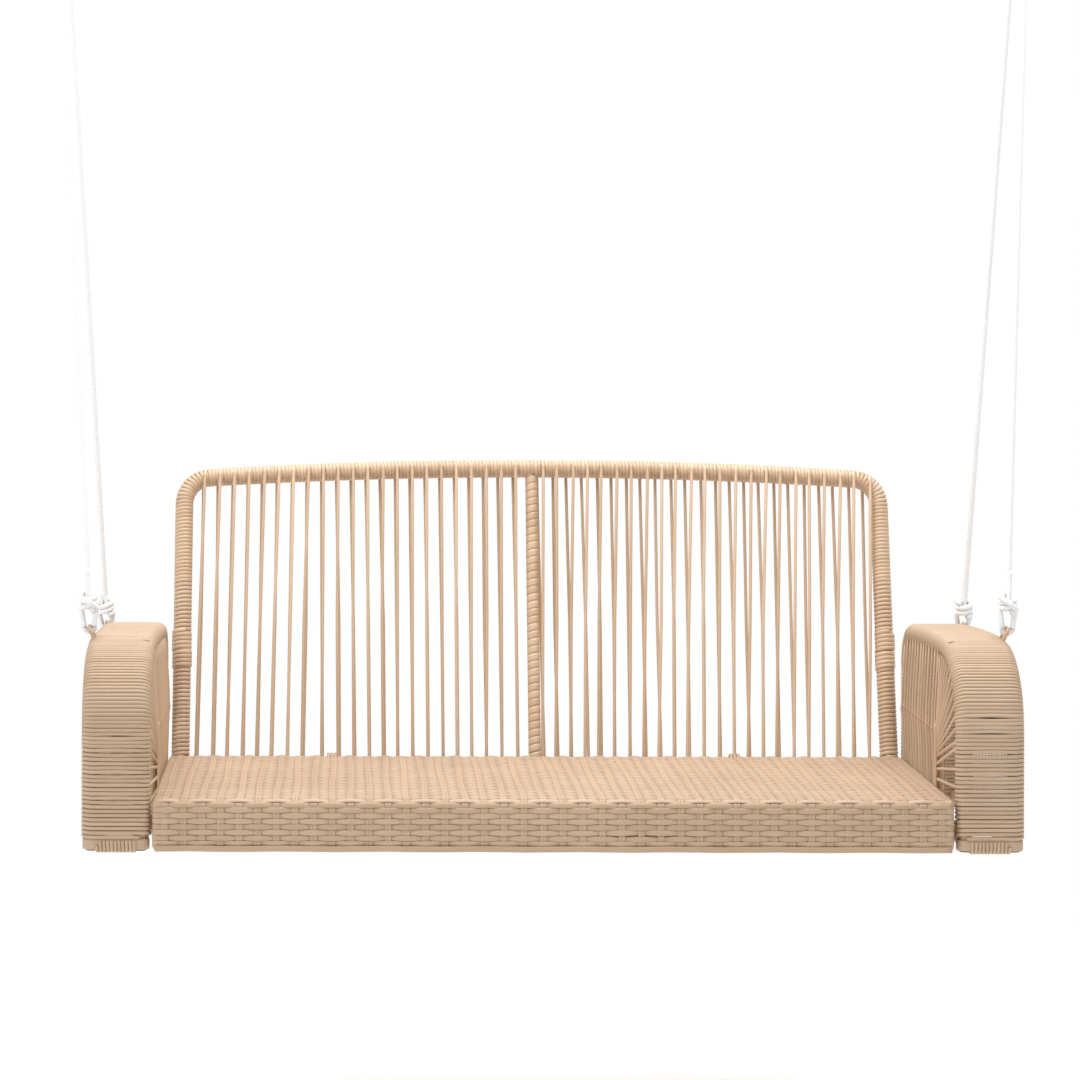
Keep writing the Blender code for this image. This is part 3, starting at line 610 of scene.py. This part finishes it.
class PORCHSWING_OT_wind_arms(Operator):
    """Wind the cord round both tubes of each arm and round the short tubes between their feet"""
    bl_idname = "porch_swing.wind_arms"
    bl_label = "Wind Arms"

    def execute(self, context):
        arms = context.scene.swing_arms
        finish = wound_cord()
        half = arms.cord / 2
        flat, deep, middle = ARM_W / 2 - MID, MID - half, ARM_IN + ARM_W / 2
        line = arch_line()
        # one turn, from the outer face round the outside tube, the inner face and the inside tube
        shape = []
        for start, way, steps, first in ((0.0, 1, 5, 60), (0.5, -1, 4, 240)):
            shape += [(way * u, way * deep, start) for u in np.linspace(-flat, flat, steps)]
            shape += [(way * flat + deep * math.cos(a), deep * math.sin(a), start + k / 12)
                      for k, a in enumerate(np.radians(range(first, first - 121, -30)), 1)]
        shape = np.array(shape)
        for side, sign in SIDES:
            pick = np.random.RandomState(11 if sign < 0 else 12)
            slack = (0.156, 0.133, 0.107, 0.067) if sign < 0 else (0.180, 0.163, 0.137, 0.106)
            seam = float(np.interp(SEAM_D, line.points[:260, 0], line.run[:260]))
            rows, at, split, seam_gap, uneven, leg_top = [], half, 0, 0.0011, 0.00022, 0.140
            while at < line.length - half:
                if not split and at > seam - half:
                    split = len(rows)
                    at += seam_gap
                rows.append(at + pick.uniform(-1, 1) * uneven)
                height = line.at(at)[0][1]
                at += arms.open_pitch if height < leg_top and not split else arms.pitch
            rows, tones = np.array(rows), pick.uniform(0.2, 0.8, len(rows) + 1)
            for name, first, last in (("front", 0, split), ("top", split, len(rows))):
                here = rows[first:last]
                turns = np.arange(len(here))
                phase = (turns[:, None] + shape[None, :, 2]).ravel()
                run = np.interp(phase, np.r_[turns, len(here)], np.r_[here, here[-1] + arms.pitch])
                run = np.minimum(run, line.length)
                point, out = line.at(run)
                u, v = np.tile(shape[:, 0], len(here)), np.tile(shape[:, 1], len(here))
                # slack turns stand a little apart between the two tubes
                high = point[:, 1] + np.where(v < 0, 0.0032, 0.0)
                mid = np.cos(np.clip(u / flat, -1, 1) * math.pi / 2) ** 2 * (point[:, 0] < SEAM_D)
                for h in slack:
                    away = (high - h) / arms.pitch
                    run = run + 0.00085 * mid * np.sign(away) * np.clip(1.6 - abs(away), 0, 1)
                point, out = line.at(run)
                # the cord pulls a touch tighter here and there
                v = v + np.sign(v) * np.repeat(pick.uniform(-0.00025, 0.00025, len(here)), len(shape))
                path = place(sign * (middle + u), *(point + out * v[:, None]).T)
                axis = place(sign * (middle + np.clip(u, -flat, flat)), *point.T)
                one = cord(path, path - axis, half * 0.86, half * 1.05, np.repeat(tones[first:last], len(shape)),
                           square=0.85, sides=8)
                lay_cords("arm_winding_%s_%s" % (name, side), [one], finish,
                          stands_for=["arm_band_%s_%s" % (name, side)])
            # a flat strip round both feet, and upright turns over it between them
            for spot, depth in (("front", MID), ("rear", ARM_DEPTH - MID)):
                u, v = shape[:, 0], shape[:, 1] * (deep - 0.0006) / deep
                x = middle + u + np.where(abs(u) > flat, np.sign(u) * -0.0006, 0)
                path = place(sign * x, depth + v, 0.0092)
                axis = place(sign * (middle + np.clip(u, -flat, flat)), depth, 0.0092)
                cords = [cord(path, path - axis, 0.0012, 0.0077, tone=0.4, closed=True, square=0.6, sides=8)]
                a = np.linspace(-math.pi / 2, 20 * math.pi, 241)
                x = np.interp(a, (0, a[-1]), (TUBE_IN + RAIL_R - 0.002, TUBE_OUT - RAIL_R + 0.002))
                c, w = np.cos(a), np.sin(a)
                ring = np.stack([0 * a, -np.sign(c) * abs(c) ** 0.55, np.sign(w) * abs(w) ** 0.8], 1)
                path = place(sign * x, depth + (MID - 0.0006) * ring[:, 1], 0.0072 + 0.0082 * ring[:, 2])
                cords.append(cord(path, np.stack([0 * a, -c, w], 1), 0.0020, 0.0024,
                                  tone=0.40 + 0.25 * np.sin(a / 5), square=0.85, sides=8))
                lay_cords("foot_winding_%s_%s" % (spot, side), cords, finish,
                          stands_for=["arm_spacer_%s_%s" % (spot, side)])
        return {"FINISHED"}


def side_strand(sign, depth, face, r, tone, bar=True, lean=0.0):
    """A strand from the arch, once round the brace bar, and down round the bottom rail."""
    top = arch_height(depth) - MID + 0.004
    rail = TUBE_IN if face == "inner" else TUBE_OUT
    way = -1 if face == "inner" else 1                 # the side of the frame that it shows on
    ring = RAIL_R + r
    points = [(ARM_IN + 0.0040 if face == "inner" else TUBE_OUT + 0.0095, depth + lean, top + 0.005)]
    if face == "inner" and bar:
        wrap = BRACE_R + r
        points += [(BRACE_X - wrap, depth + lean * 0.5, BRACE_H + 0.030)]
        for a in np.linspace(1, -1, 9) * math.pi:
            points.append((BRACE_X + wrap * math.cos(a), depth - 0.0026 * a / math.pi, BRACE_H + wrap * math.sin(a)))
        points += [(BRACE_X - wrap + 0.0006, depth, BRACE_H - 0.030)]
    points += [(rail + way * ring, depth, BASE_H + 0.012)]
    for a in np.radians(range(0, 181, 30)):
        points.append((rail + way * ring * math.cos(a), depth, BASE_H - ring * math.sin(a)))
    x, d, h = np.array(points).T
    path = bend(place(sign * x, d, h), 4)
    lump = 0.62 * np.exp(-((path[:, 2] + CEILING_H - BRACE_H) / 0.0055) ** 2) * (face == "inner")
    return cord(path, (sign * way, 0, 0), r * (0.70 + lump), r * 0.92, tone=tone, square=0.85, sides=8)


class PORCHSWING_OT_string_arm_sides(Operator):
    """String the upright strands and the front fan inside and outside each arm"""
    bl_idname = "porch_swing.string_arm_sides"
    bl_label = "String Arm Sides"

    def execute(self, context):
        arms = context.scene.swing_arms
        finish = back_strand()
        r = arms.strand / 2
        line = arch_line(low=0.03, lift=0.0)
        for side, sign in SIDES:
            pick = np.random.RandomState(31 if sign < 0 else 32)
            for face in ("inner", "outer"):
                rear = ARM_DEPTH - BAND_T - 0.006
                first = BRACE_D + 0.008 if face == "inner" else BAND_T + 0.010
                count = int((rear - first) / arms.strand_pitch)
                cords = []
                for depth in np.linspace(first, rear, count + 1) + pick.uniform(-0.0012, 0.0012, count + 1):
                    cords.append(side_strand(sign, float(depth), face, r, pick.uniform(0.1, 0.9),
                                             lean=pick.uniform(-0.0025, 0.0025)))
                if face == "inner":
                    # the fan: from the post to the front curve
                    x = BRACE_X - BRACE_R - r
                    ends = np.linspace(float(np.interp(0.165, line.points[:180, 0], line.run[:180])),
                                       float(np.interp(0.149, line.points[:60, 1], line.run[:60])), arms.fan)
                    starts = np.linspace(0.160, 0.112, arms.fan)
                    fans = [(h, *(line.at(run)[0] - line.at(run)[1] * (MID - 0.004))) for h, run in zip(starts, ends)]
                    fans += [(0.101, BAND_T - 0.004, 0.140), (0.094, BAND_T - 0.004, 0.111),
                             (0.080, BAND_T - 0.004, 0.086), (0.062, BAND_T - 0.004, 0.060),
                             (0.046, BAND_T - 0.004, 0.036)]
                    for start, end_d, end_h in fans:
                        wrap = [(BRACE_X + (BRACE_R + r) * math.cos(t), BRACE_D + (BRACE_R + r) * math.sin(t), start)
                                for t in np.radians((0, 45, 90, 135, 180, 215))]
                        near, far = np.array([(x, BRACE_D - 0.006, start), (ARM_IN + 0.0045, end_d, end_h)])
                        along = [near + (far - near) * k for k in (0.06, 0.2, 0.4, 0.6, 0.8, 1.0)]
                        px, pd, ph = np.array(wrap + along).T
                        path = bend(place(sign * px, pd, ph), 4)
                        cords.append(cord(path, (-sign, 0.001, 0), r * 0.62, r, tone=pick.uniform(0.1, 0.9),
                                          square=0.85, sides=8))
                    bar = place(sign * BRACE_X, np.linspace(BRACE_D + 0.006, ARM_DEPTH - BAND_T - 0.003, 12), BRACE_H)
                    cords.append(wind(bar, BRACE_R + 0.0024, 0.0072, 0.0017, 0.0026, pick, steps=10, fine=300))
                    for depth in BRACE_D + np.array((-0.0052, 0, 0.0052)):
                        path = bend(place(sign * (BRACE_X - BRACE_R - r - 0.001), np.full(9, depth),
                                          np.linspace(0.020, BRACE_H + 0.012, 9)), 3)
                        cords.append(cord(path, (-sign, 0, 0), r * 0.6, r, tone=pick.uniform(0.2, 0.8), sides=8))
                lay_cords("arm_side_%s_%s" % (face, side), cords, finish,
                          stands_for=["arm_strands_%s_%s" % (face, side)])
        return {"FINISHED"}


# ------------------------------------------------------------ seat
def seat_line():
    """Outline of the seat from the front lip underneath, round to the rear lip underneath."""
    r, d, h = EDGE_R, SEAT_DEPTH, SEAT_H
    return Line(np.vstack([[(0.030, 0.0)], arc(r, r, r, r, 270, 180, 10), arc(r, h - r, r, r, 180, 90, 10),
                           np.stack([np.linspace(r + 0.005, d - r - 0.005, 60), np.full(60, h)], 1),
                           arc(d - r, h - r, r, r, 90, 0, 10), arc(d - r, r, r, r, 0, -90, 10), [(d - 0.030, 0.0)]]))


class PORCHSWING_OT_weave_seat(Operator):
    """Weave the seat: cross strips over and under pairs of strips that run front to back"""
    bl_idname = "porch_swing.weave_seat"
    bl_label = "Weave Seat"

    def execute(self, context):
        seat = context.scene.swing_seat
        pick = np.random.RandomState(5)
        line, finish = seat_line(), seat_strip()
        third = seat.columns // 3
        widths = np.where(abs(np.arange(seat.columns) - (seat.columns - 1) / 2) < third / 2, 1.055, 1.0)
        edges = np.concatenate([[0], np.cumsum(widths)])
        edges = (edges / edges[-1] - 0.5) * 2 * (SEAT_HALF - 0.004)
        centres = (edges[1:] + edges[:-1]) / 2
        rows = int(line.length / seat.row_pitch)
        margin = (line.length - rows * seat.row_pitch) / 2
        middle = -0.0016                                 # middle of the weave below the seat's surface
        front_rows = int(0.085 / seat.row_pitch)

        # cross strips
        cords = []
        for j in range(rows):
            steps = 6 if j < front_rows + 2 else 4
            at = np.arange(-steps // 2 - 1, (seat.columns - 1) * steps + steps // 2 + 2) / steps
            x = np.interp(at, np.arange(seat.columns), centres)
            past = at - np.clip(at, 0, seat.columns - 1)     # beyond the outer columns
            x = np.clip(x + past * (centres[1] - centres[0]), -SEAT_HALF + 0.0045, SEAT_HALF - 0.0045)
            wave = np.cos(math.pi * (at + j)) * np.where(past != 0, 0.3, 1.0)
            wobble = np.interp(x, np.linspace(-0.6, 0.6, 12), pick.uniform(-0.00022, 0.00022, 12))
            run = margin + (j + 0.5) * seat.row_pitch + wobble
            # two slack rows low on the front leave a slit
            height = line.at(margin + (j + 0.5) * seat.row_pitch)[0]
            slack = np.exp(-((x - 0.122) / 0.055) ** 2) * (height[0] < 0.004)
            upper, lower = (abs(height[1] - h) < 0.0038 for h in (0.0285, 0.0208))
            run = run + slack * 0.0009 * (int(upper) - int(lower))
            point, out = line.at(run)
            on_top = height[1] > SEAT_H - 0.0005
            low_row = on_top and j % 4 == 1
            lift = middle + seat.lift * wave * (0.45 if low_row else 0.62 if on_top else 1.0) - 0.0004 * low_row
            path = place(x, *(point + out * lift[:, None]).T)
            facing = np.insert(out, 0, 0, axis=1)
            # the ends turn down over the side of the seat
            turn = np.array([(0.0028, -0.0010), (0.0040, -0.0038), (0.0042, -0.0090)])
            for end, way in ((0, -1), (-1, 1)):
                o = facing[end]
                extra = path[end] + np.array([(way * u, 0, 0) for u, v in turn]) + o * turn[:, 1:2]
                look = unit(np.array([o * share + (way * aside, 0, 0) for share, aside in
                                      ((0.8, 0.6), (0.2, 1.0), (0.0, 1.0))]))
                path = np.vstack([extra[::-1], path]) if end == 0 else np.vstack([path, extra])
                facing = np.vstack([look[::-1], facing]) if end == 0 else np.vstack([facing, look])
            wide = seat.row_pitch * (0.534 + 0.018 * np.pad(wave, 3, mode="edge")) * (0.92 if low_row else 1.0)
            # painted shade: every fourth row on the top sits lower, and its tone is lowered to darken it
            tone = pick.uniform(0.15, 0.85) - 0.35 * low_row
            cords.append(cord(path, facing, 0.00125, wide, tone=tone, square=0.75))
        lay_cords("seat_cross_strips", cords, finish, stands_for=["seat_weave"])

        # pairs that run front to back
        cords = []
        for c, x in enumerate(centres):
            near = np.arange(0, 4 * (front_rows + 1)) / 4
            far = np.arange(2 * (front_rows + 1), 2 * rows - 6) / 2
            at = np.concatenate([near, far])
            run = margin + at * seat.row_pitch
            wave = -np.cos(math.pi * (c + at - 0.5))
            point, out = line.at(run)
            top = point[:, 1] > SEAT_H - 0.0005
            lift = middle + 0.0012 * wave + np.where(top, 0.0002 * wave + 0.0006, 0.0)
            sway = 0.0012 * np.sin(point[:, 0] * 14 + c * 1.7) * (point[:, 1] > SEAT_H - 0.002)
            for k in (-1, 1):
                shift = x + k * (seat.strip / 2 - 0.0001) + sway
                path = place(shift, *(point + out * lift[:, None]).T)
                cords.append(cord(path, np.insert(out, 0, 0, axis=1), 0.0007, seat.strip / 2 + 0.0004,
                                  tone=pick.uniform(0.2, 0.75), square=0.55))
        lay_cords("seat_long_strips", cords, finish)

        # flat strips that bind the lower edges
        cords = []
        x = np.linspace(-SEAT_HALF + 0.003, SEAT_HALF - 0.003, 120)
        for depth, way in ((-0.0010, -1), (SEAT_DEPTH + 0.0010, 1)):
            wave = 0.0004 * np.sin(x * 118.0)
            path = place(x, depth + way * wave, 0.0042 + 0.0003 * np.sin(x * 47.0))
            cords.append(cord(path, (0, way, 0), 0.0010, 0.0042, tone=0.35, square=0.75, sides=8))
        lay_cords("seat_edge_binding", cords, finish)
        return {"FINISHED"}


# ------------------------------------------------------------ backrest
def back_depth(height):
    return BACK_D + np.maximum(0.0, np.asarray(height) - BACK_BEND_H) * BACK_SLOPE


def hoop_top(x):
    return BACK_SIDE_H + BACK_RISE * (1 - (x / (BACK_X - BACK_CORNER)) ** 2)


def wind(line, radius, pitch, half, wide, tones, steps=12, fine=2000):
    """A cord wound round a line, as one helix."""
    line = np.asarray(line, float)
    run = np.concatenate([[0.0], np.cumsum(np.linalg.norm(np.diff(line, axis=0), axis=1))])
    at = np.linspace(0, run[-1], fine)
    middle = np.stack([np.interp(at, run, line[:, k]) for k in range(3)], 1)
    along = unit(np.gradient(middle, axis=0))
    smooth = np.ones(25) / 25
    along = unit(np.stack([np.convolve(np.pad(along[:, k], 12, mode="edge"), smooth, "valid") for k in range(3)], 1))
    turn = np.cumsum(np.r_[0, np.diff(at)] / np.broadcast_to(pitch(at) if callable(pitch) else pitch, fine))
    count = int(turn[-1] * steps)
    phase = np.arange(count + 1) / steps
    where = np.interp(phase, turn, at)
    m = np.stack([np.interp(where, at, middle[:, k]) for k in range(3)], 1)
    t = unit(np.stack([np.interp(where, at, along[:, k]) for k in range(3)], 1))
    rear = np.array((0.0, 1.0, 0.0))
    u = unit(rear - t * (t @ rear)[:, None])
    v = np.cross(t, u)
    a = 2 * math.pi * phase
    spoke = u * np.cos(a)[:, None] + v * np.sin(a)[:, None]
    size = tones.uniform(0.2, 0.85, int(turn[-1]) + 2)
    return cord(m + spoke * radius, spoke, half, wide, tone=size[phase.astype(int)], square=0.8, sides=8)


class PORCHSWING_OT_wind_backrest(Operator):
    """Wind the hoop, the middle post and the lower rail of the backrest"""
    bl_idname = "porch_swing.wind_backrest"
    bl_label = "Wind Backrest"

    def execute(self, context):
        back = context.scene.swing_back
        finish = back_strand()
        pick = np.random.RandomState(21)
        corner_h = BACK_SIDE_H - BACK_CORNER
        post = [(-BACK_X, h) for h in (0.004, BACK_BEND_H - 0.012, BACK_BEND_H, BACK_BEND_H + 0.012)]
        left = np.vstack([post, arc(BACK_CORNER - BACK_X, corner_h, BACK_CORNER, BACK_CORNER, 180, 92, 14)])
        x = np.linspace(-(BACK_X - BACK_CORNER) * 0.98, (BACK_X - BACK_CORNER) * 0.98, 41)
        flat = np.vstack([left, np.stack([x, hoop_top(x)], 1), left[::-1] * (-1, 1)])
        line = place(flat[:, 0], back_depth(flat[:, 1]), flat[:, 1])
        total = np.linalg.norm(np.diff(line, axis=0), axis=1).sum()

        def pitch(at):
            foot = np.minimum(at, total - at)
            return np.where(foot < 0.33, 0.0063, back.pitch)

        half = 0.0019
        cords = [wind(line, BACK_R - half, pitch, half, back.pitch * 0.53, pick, steps=14, fine=6000)]
        for _, sign in SIDES:
            for low, high in ((0.196, 0.222), (0.222, 0.250)):
                h = np.linspace(low, high, 12)
                x = sign * (BACK_X + 0.0008 * (low > 0.2))
                cords.append(wind(place(x, back_depth(h), h), BACK_R - half + 0.0013, 0.0063, half, 0.0033, pick,
                                  steps=14, fine=200))
        lay_cords("hoop_winding", cords, finish, stands_for=["back_hoop"])
        under = BACK_SIDE_H + BACK_RISE - BACK_R * math.hypot(1, BACK_SLOPE) + 0.0085
        h = np.linspace(BACK_RAIL_H + POST_R, under, 40)
        wide = back.post_pitch * 0.52
        post = wind(place(0, back_depth(h), h), POST_R - 0.0008, back.post_pitch, 0.0008, wide, pick, steps=14)
        lay_cords("post_winding", [post], finish, stands_for=["back_post_middle"])
        reach = BACK_X - BACK_R
        rail = place(np.linspace(-reach, reach, 20), BACK_D, BACK_RAIL_H)
        turns = wind(rail, POST_R - 0.0012, back.post_pitch, 0.0012, wide, pick)
        lay_cords("rail_winding", [turns], finish, stands_for=["back_rail_lower"])
        return {"FINISHED"}


class PORCHSWING_OT_string_backrest(Operator):
    """String the backrest: loops over the hoop and under the lower rail, and the ties to the seat"""
    bl_idname = "porch_swing.string_backrest"
    bl_label = "String Backrest"

    def execute(self, context):
        back = context.scene.swing_back
        finish = back_strand()
        pick = np.random.RandomState(41)
        r = back.strand / 2
        halves = (("left", np.linspace(-0.501, -0.026, back.left_pairs)),
                  ("right", np.linspace(0.0135, 0.513, back.right_pairs)))
        for side, tops in halves:
            cords = []
            for i, x in enumerate(tops):
                top_h = float(hoop_top(np.clip(x, -0.49, 0.49)))
                if abs(x) > 0.491:
                    past = min(BACK_CORNER, abs(x) - (BACK_X - BACK_CORNER))
                    top_h = BACK_SIDE_H - BACK_CORNER + math.sqrt(BACK_CORNER ** 2 - past ** 2)
                upper = np.array((float(back_depth(top_h)), top_h))
                lower = np.array((BACK_D, BACK_RAIL_H))
                up = unit(upper - lower)
                behind = np.array((up[1], -up[0]))
                widest = (0.0052, 0.0042) if side == "right" else (0.0030, 0.0012)
                apart, below = widest * pick.uniform(0.35, 1.0, 2)
                cross = pick.uniform(-0.002, 0.002)
                lean = np.interp(x, (-0.50, -0.33, -0.315, -0.20, 0.0, 0.10, 0.25, 0.51),
                                 (-0.0057, -0.0070, 0.0055, 0.0018, 0.0, -0.005, -0.009, -0.012))
                limit = BACK_X - BACK_R - 0.006
                foot = np.clip(x + lean + pick.uniform(-0.0015, 0.0015), -limit, limit)
                if abs(foot) < POST_R + 0.004:
                    foot = math.copysign(POST_R + 0.004, x)
                tall, tuck, short = BACK_R + r * 0.5, BACK_R * 0.62, POST_R + r * 0.8
                mid = (upper + lower) / 2
                points = []
                for way, hub, wide, deep, at, spread in ((1, upper, tall, tuck, x, apart),      # round the hoop
                                                         (-1, lower, short, short, foot, below)):   # and the rail
                    for a in np.radians(np.linspace(180, 0, 13)):
                        points.append((at - spread * math.cos(a),
                                       *(hub + way * (behind * wide * math.cos(a) + up * deep * math.sin(a)))))
                    points.append(((x + foot) / 2 + way * cross, *(mid + way * behind * (tall + short) / 2)))
                path = place(*np.array(points).T)
                high = path[:, 2:] + CEILING_H > mid[1]
                spoke = path - place(0, *np.where(high, upper, lower).T)
                spoke[:, 0] = 0
                rearward = np.array((0, *behind))
                flat_way = np.sign(spoke @ rearward)[:, None] * rearward
                near_hub = np.linalg.norm(spoke, axis=1) < 0.030
                facing = np.where(near_hub[:, None], unit(spoke), flat_way)
                cords.append(cord(path, facing, r * 0.80, r, tone=pick.uniform(0.05, 0.95), closed=True, sides=8))
            lay_cords("back_strings_%s" % side, cords, finish, stands_for=["back_strands_%s" % side])

        # two ties hold the lower rail to the seat
        cords = []
        seat_rail = np.array((SEAT_DEPTH - 0.0128, SEAT_H - 0.0128))
        back_rail = np.array((BACK_D, BACK_RAIL_H))
        across = unit(seat_rail - back_rail)
        side = np.array((-across[1], across[0]))
        a = np.radians(np.linspace(-90, 90, 9))[:, None]
        round_rail = across * np.cos(a) + side * np.sin(a)
        loop = np.vstack([seat_rail + 0.0158 * round_rail, back_rail - 0.0140 * round_rail])
        for tie_x in (-0.304, 0.296):
            for x in tie_x + np.array((-0.0052, 0, 0.0052)):
                path = place(x, *loop.T)
                facing = path - place(x, *(seat_rail + back_rail) / 2)
                cords.append(cord(path, facing, 0.0022, 0.0025, tone=0.0, closed=True, sides=8))
        lay_cords("back_ties", cords, wound_cord())
        return {"FINISHED"}


# ------------------------------------------------------------ frame and metalwork
class PORCHSWING_OT_finish_frame(Operator):
    """Give the tubes their paint, the hooks, rings and bolts their zinc, and the feet their black plugs"""
    bl_idname = "porch_swing.finish_frame"
    bl_label = "Finish Frame"

    def execute(self, context):
        zinc, paint, plug = zinc_plate(), painted_frame(), black_plug()
        looks = {"ceiling_hanger": zinc, "hang_ring": zinc, "seat_bolt": zinc, "arm_cap": plug}
        for name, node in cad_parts.items():
            for slot in node.material_slots:
                slot.material = next((look for start, look in looks.items() if name.startswith(start)), paint)
        return {"FINISHED"}


# ------------------------------------------------------------ stage
def soft_light(name, where, towards, size, power):
    lamp = bpy.data.lights.new(name, "AREA")
    lamp.shape, lamp.size, lamp.size_y, lamp.energy = "RECTANGLE", size[0], size[1], power
    obj = bpy.data.objects.new(name, lamp)
    obj.location = where
    look = np.asarray(towards, float) - np.asarray(where, float)
    obj.rotation_euler = (math.atan2(math.hypot(look[0], look[1]), -look[2]), 0, math.atan2(-look[0], look[1]))
    bpy.context.scene.collection.objects.link(obj)


class PORCHSWING_OT_set_stage(Operator):
    """Lay the floor, hang the lights and set up the camera"""
    bl_idname = "porch_swing.set_stage"
    bl_label = "Set Stage"

    def execute(self, context):
        scene, stage = context.scene, context.scene.swing_stage
        scene.view_settings.view_transform = "Standard"
        world = bpy.data.worlds.new("studio")
        scene.world = world
        world.use_nodes = True
        tree = world.node_tree
        room, sweep = tree.nodes["Background"], tree.nodes.new("ShaderNodeBackground")
        for light in (room, sweep):
            light.inputs["Color"].default_value = (1.0, 1.0, 1.0, 1.0)
        room.inputs["Strength"].default_value = stage.room
        which, mix = tree.nodes.new("ShaderNodeLightPath"), tree.nodes.new("ShaderNodeMixShader")
        tree.links.new(which.outputs["Is Camera Ray"], mix.inputs[0])
        tree.links.new(room.outputs[0], mix.inputs[1])
        tree.links.new(sweep.outputs[0], mix.inputs[2])
        tree.links.new(mix.outputs[0], tree.nodes["World Output"].inputs["Surface"])

        level = -CEILING_H - stage.floor_drop
        mesh = bpy.data.meshes.new("studio_floor")
        mesh.from_pydata([(-2.0, -1.7, level), (2.0, -1.7, level), (2.0, 1.5, level), (-2.0, 1.5, level)],
                         [], [(0, 1, 2, 3)])
        floor = bpy.data.objects.new("studio_floor", mesh)
        scene.collection.objects.link(floor)
        mat, tree, shader = new_material("studio_floor")
        grain = noise(tree, tree.nodes.new("ShaderNodeTexCoord").outputs["Object"], 3.0)
        tint = mix_colour(tree, grain, (0.965,) * 3 + (1.0,), (0.985,) * 3 + (1.0,))
        tree.links.new(tint, shader.inputs["Base Color"])
        shader.inputs["Roughness"].default_value = 0.9
        shader.inputs["Specular IOR Level"].default_value = 0.1
        mesh.materials.append(mat)

        middle = place(0, 0.25, 0.2)
        soft_light("overhead", place(0.1, 0.35, 2.9), middle, (3.6, 3.0), stage.key)
        soft_light("beside_camera", place(-4.4, -1.9, 1.3), middle, (2.6, 2.0), stage.fill)

        lens = bpy.data.cameras.new("front_view")
        lens.sensor_width, lens.lens = 36.0, stage.lens
        lens.shift_x, lens.shift_y = 0.1775, -0.2241
        lens.clip_end = 60.0
        camera = bpy.data.objects.new("front_view", lens)
        camera.location = place(-0.281, -5.0, 0.755)
        camera.rotation_euler = (math.pi / 2, math.radians(-0.12), 0.0)
        scene.collection.objects.link(camera)
        scene.camera = camera
        return {"FINISHED"}


class PORCHSWING_PT_sidebar(Panel):
    """Porch swing pieces and their settings"""
    bl_idname = "PORCHSWING_PT_sidebar"
    bl_label = "Porch Swing"
    bl_space_type = "VIEW_3D"
    bl_region_type = "UI"
    bl_category = "Porch Swing"

    def draw(self, context):
        for label, group, steps in SECTIONS:
            box = self.layout.box()
            box.label(text=label)
            settings = getattr(context.scene, group)
            for name in settings.__annotations__:
                box.prop(settings, name)
            for step in steps:
                box.operator(step.bl_idname)


SECTIONS = (
    ("Stage", "swing_stage", (PORCHSWING_OT_set_stage,)),
    ("Ropes", "swing_ropes", (PORCHSWING_OT_hang_ropes,)),
    ("Arms", "swing_arms", (PORCHSWING_OT_wind_arms, PORCHSWING_OT_string_arm_sides)),
    ("Seat", "swing_seat", (PORCHSWING_OT_weave_seat,)),
    ("Backrest", "swing_back", (PORCHSWING_OT_wind_backrest, PORCHSWING_OT_string_backrest)),
    ("Finishes", "swing_finishes", (PORCHSWING_OT_finish_frame,)),
)
SETTINGS = {"swing_stage": PorchSwingStage, "swing_ropes": PorchSwingRopes, "swing_arms": PorchSwingArms,
            "swing_seat": PorchSwingSeat, "swing_back": PorchSwingBack, "swing_finishes": PorchSwingFinishes}
OPERATORS = [step for _, _, steps in SECTIONS for step in steps]


def register():
    for name, group in SETTINGS.items():
        bpy.utils.register_class(group)
        setattr(bpy.types.Scene, name, PointerProperty(type=group))
    for cls in OPERATORS + [PORCHSWING_PT_sidebar]:
        bpy.utils.register_class(cls)


def unregister():
    for cls in reversed(OPERATORS + [PORCHSWING_PT_sidebar]):
        bpy.utils.unregister_class(cls)
    for name, group in SETTINGS.items():
        delattr(bpy.types.Scene, name)
        bpy.utils.unregister_class(group)


def main():
    register()
    for step in OPERATORS:
        group, name = step.bl_idname.split(".")
        getattr(getattr(bpy.ops, group), name)()


if __name__ == "__main__":
    main()
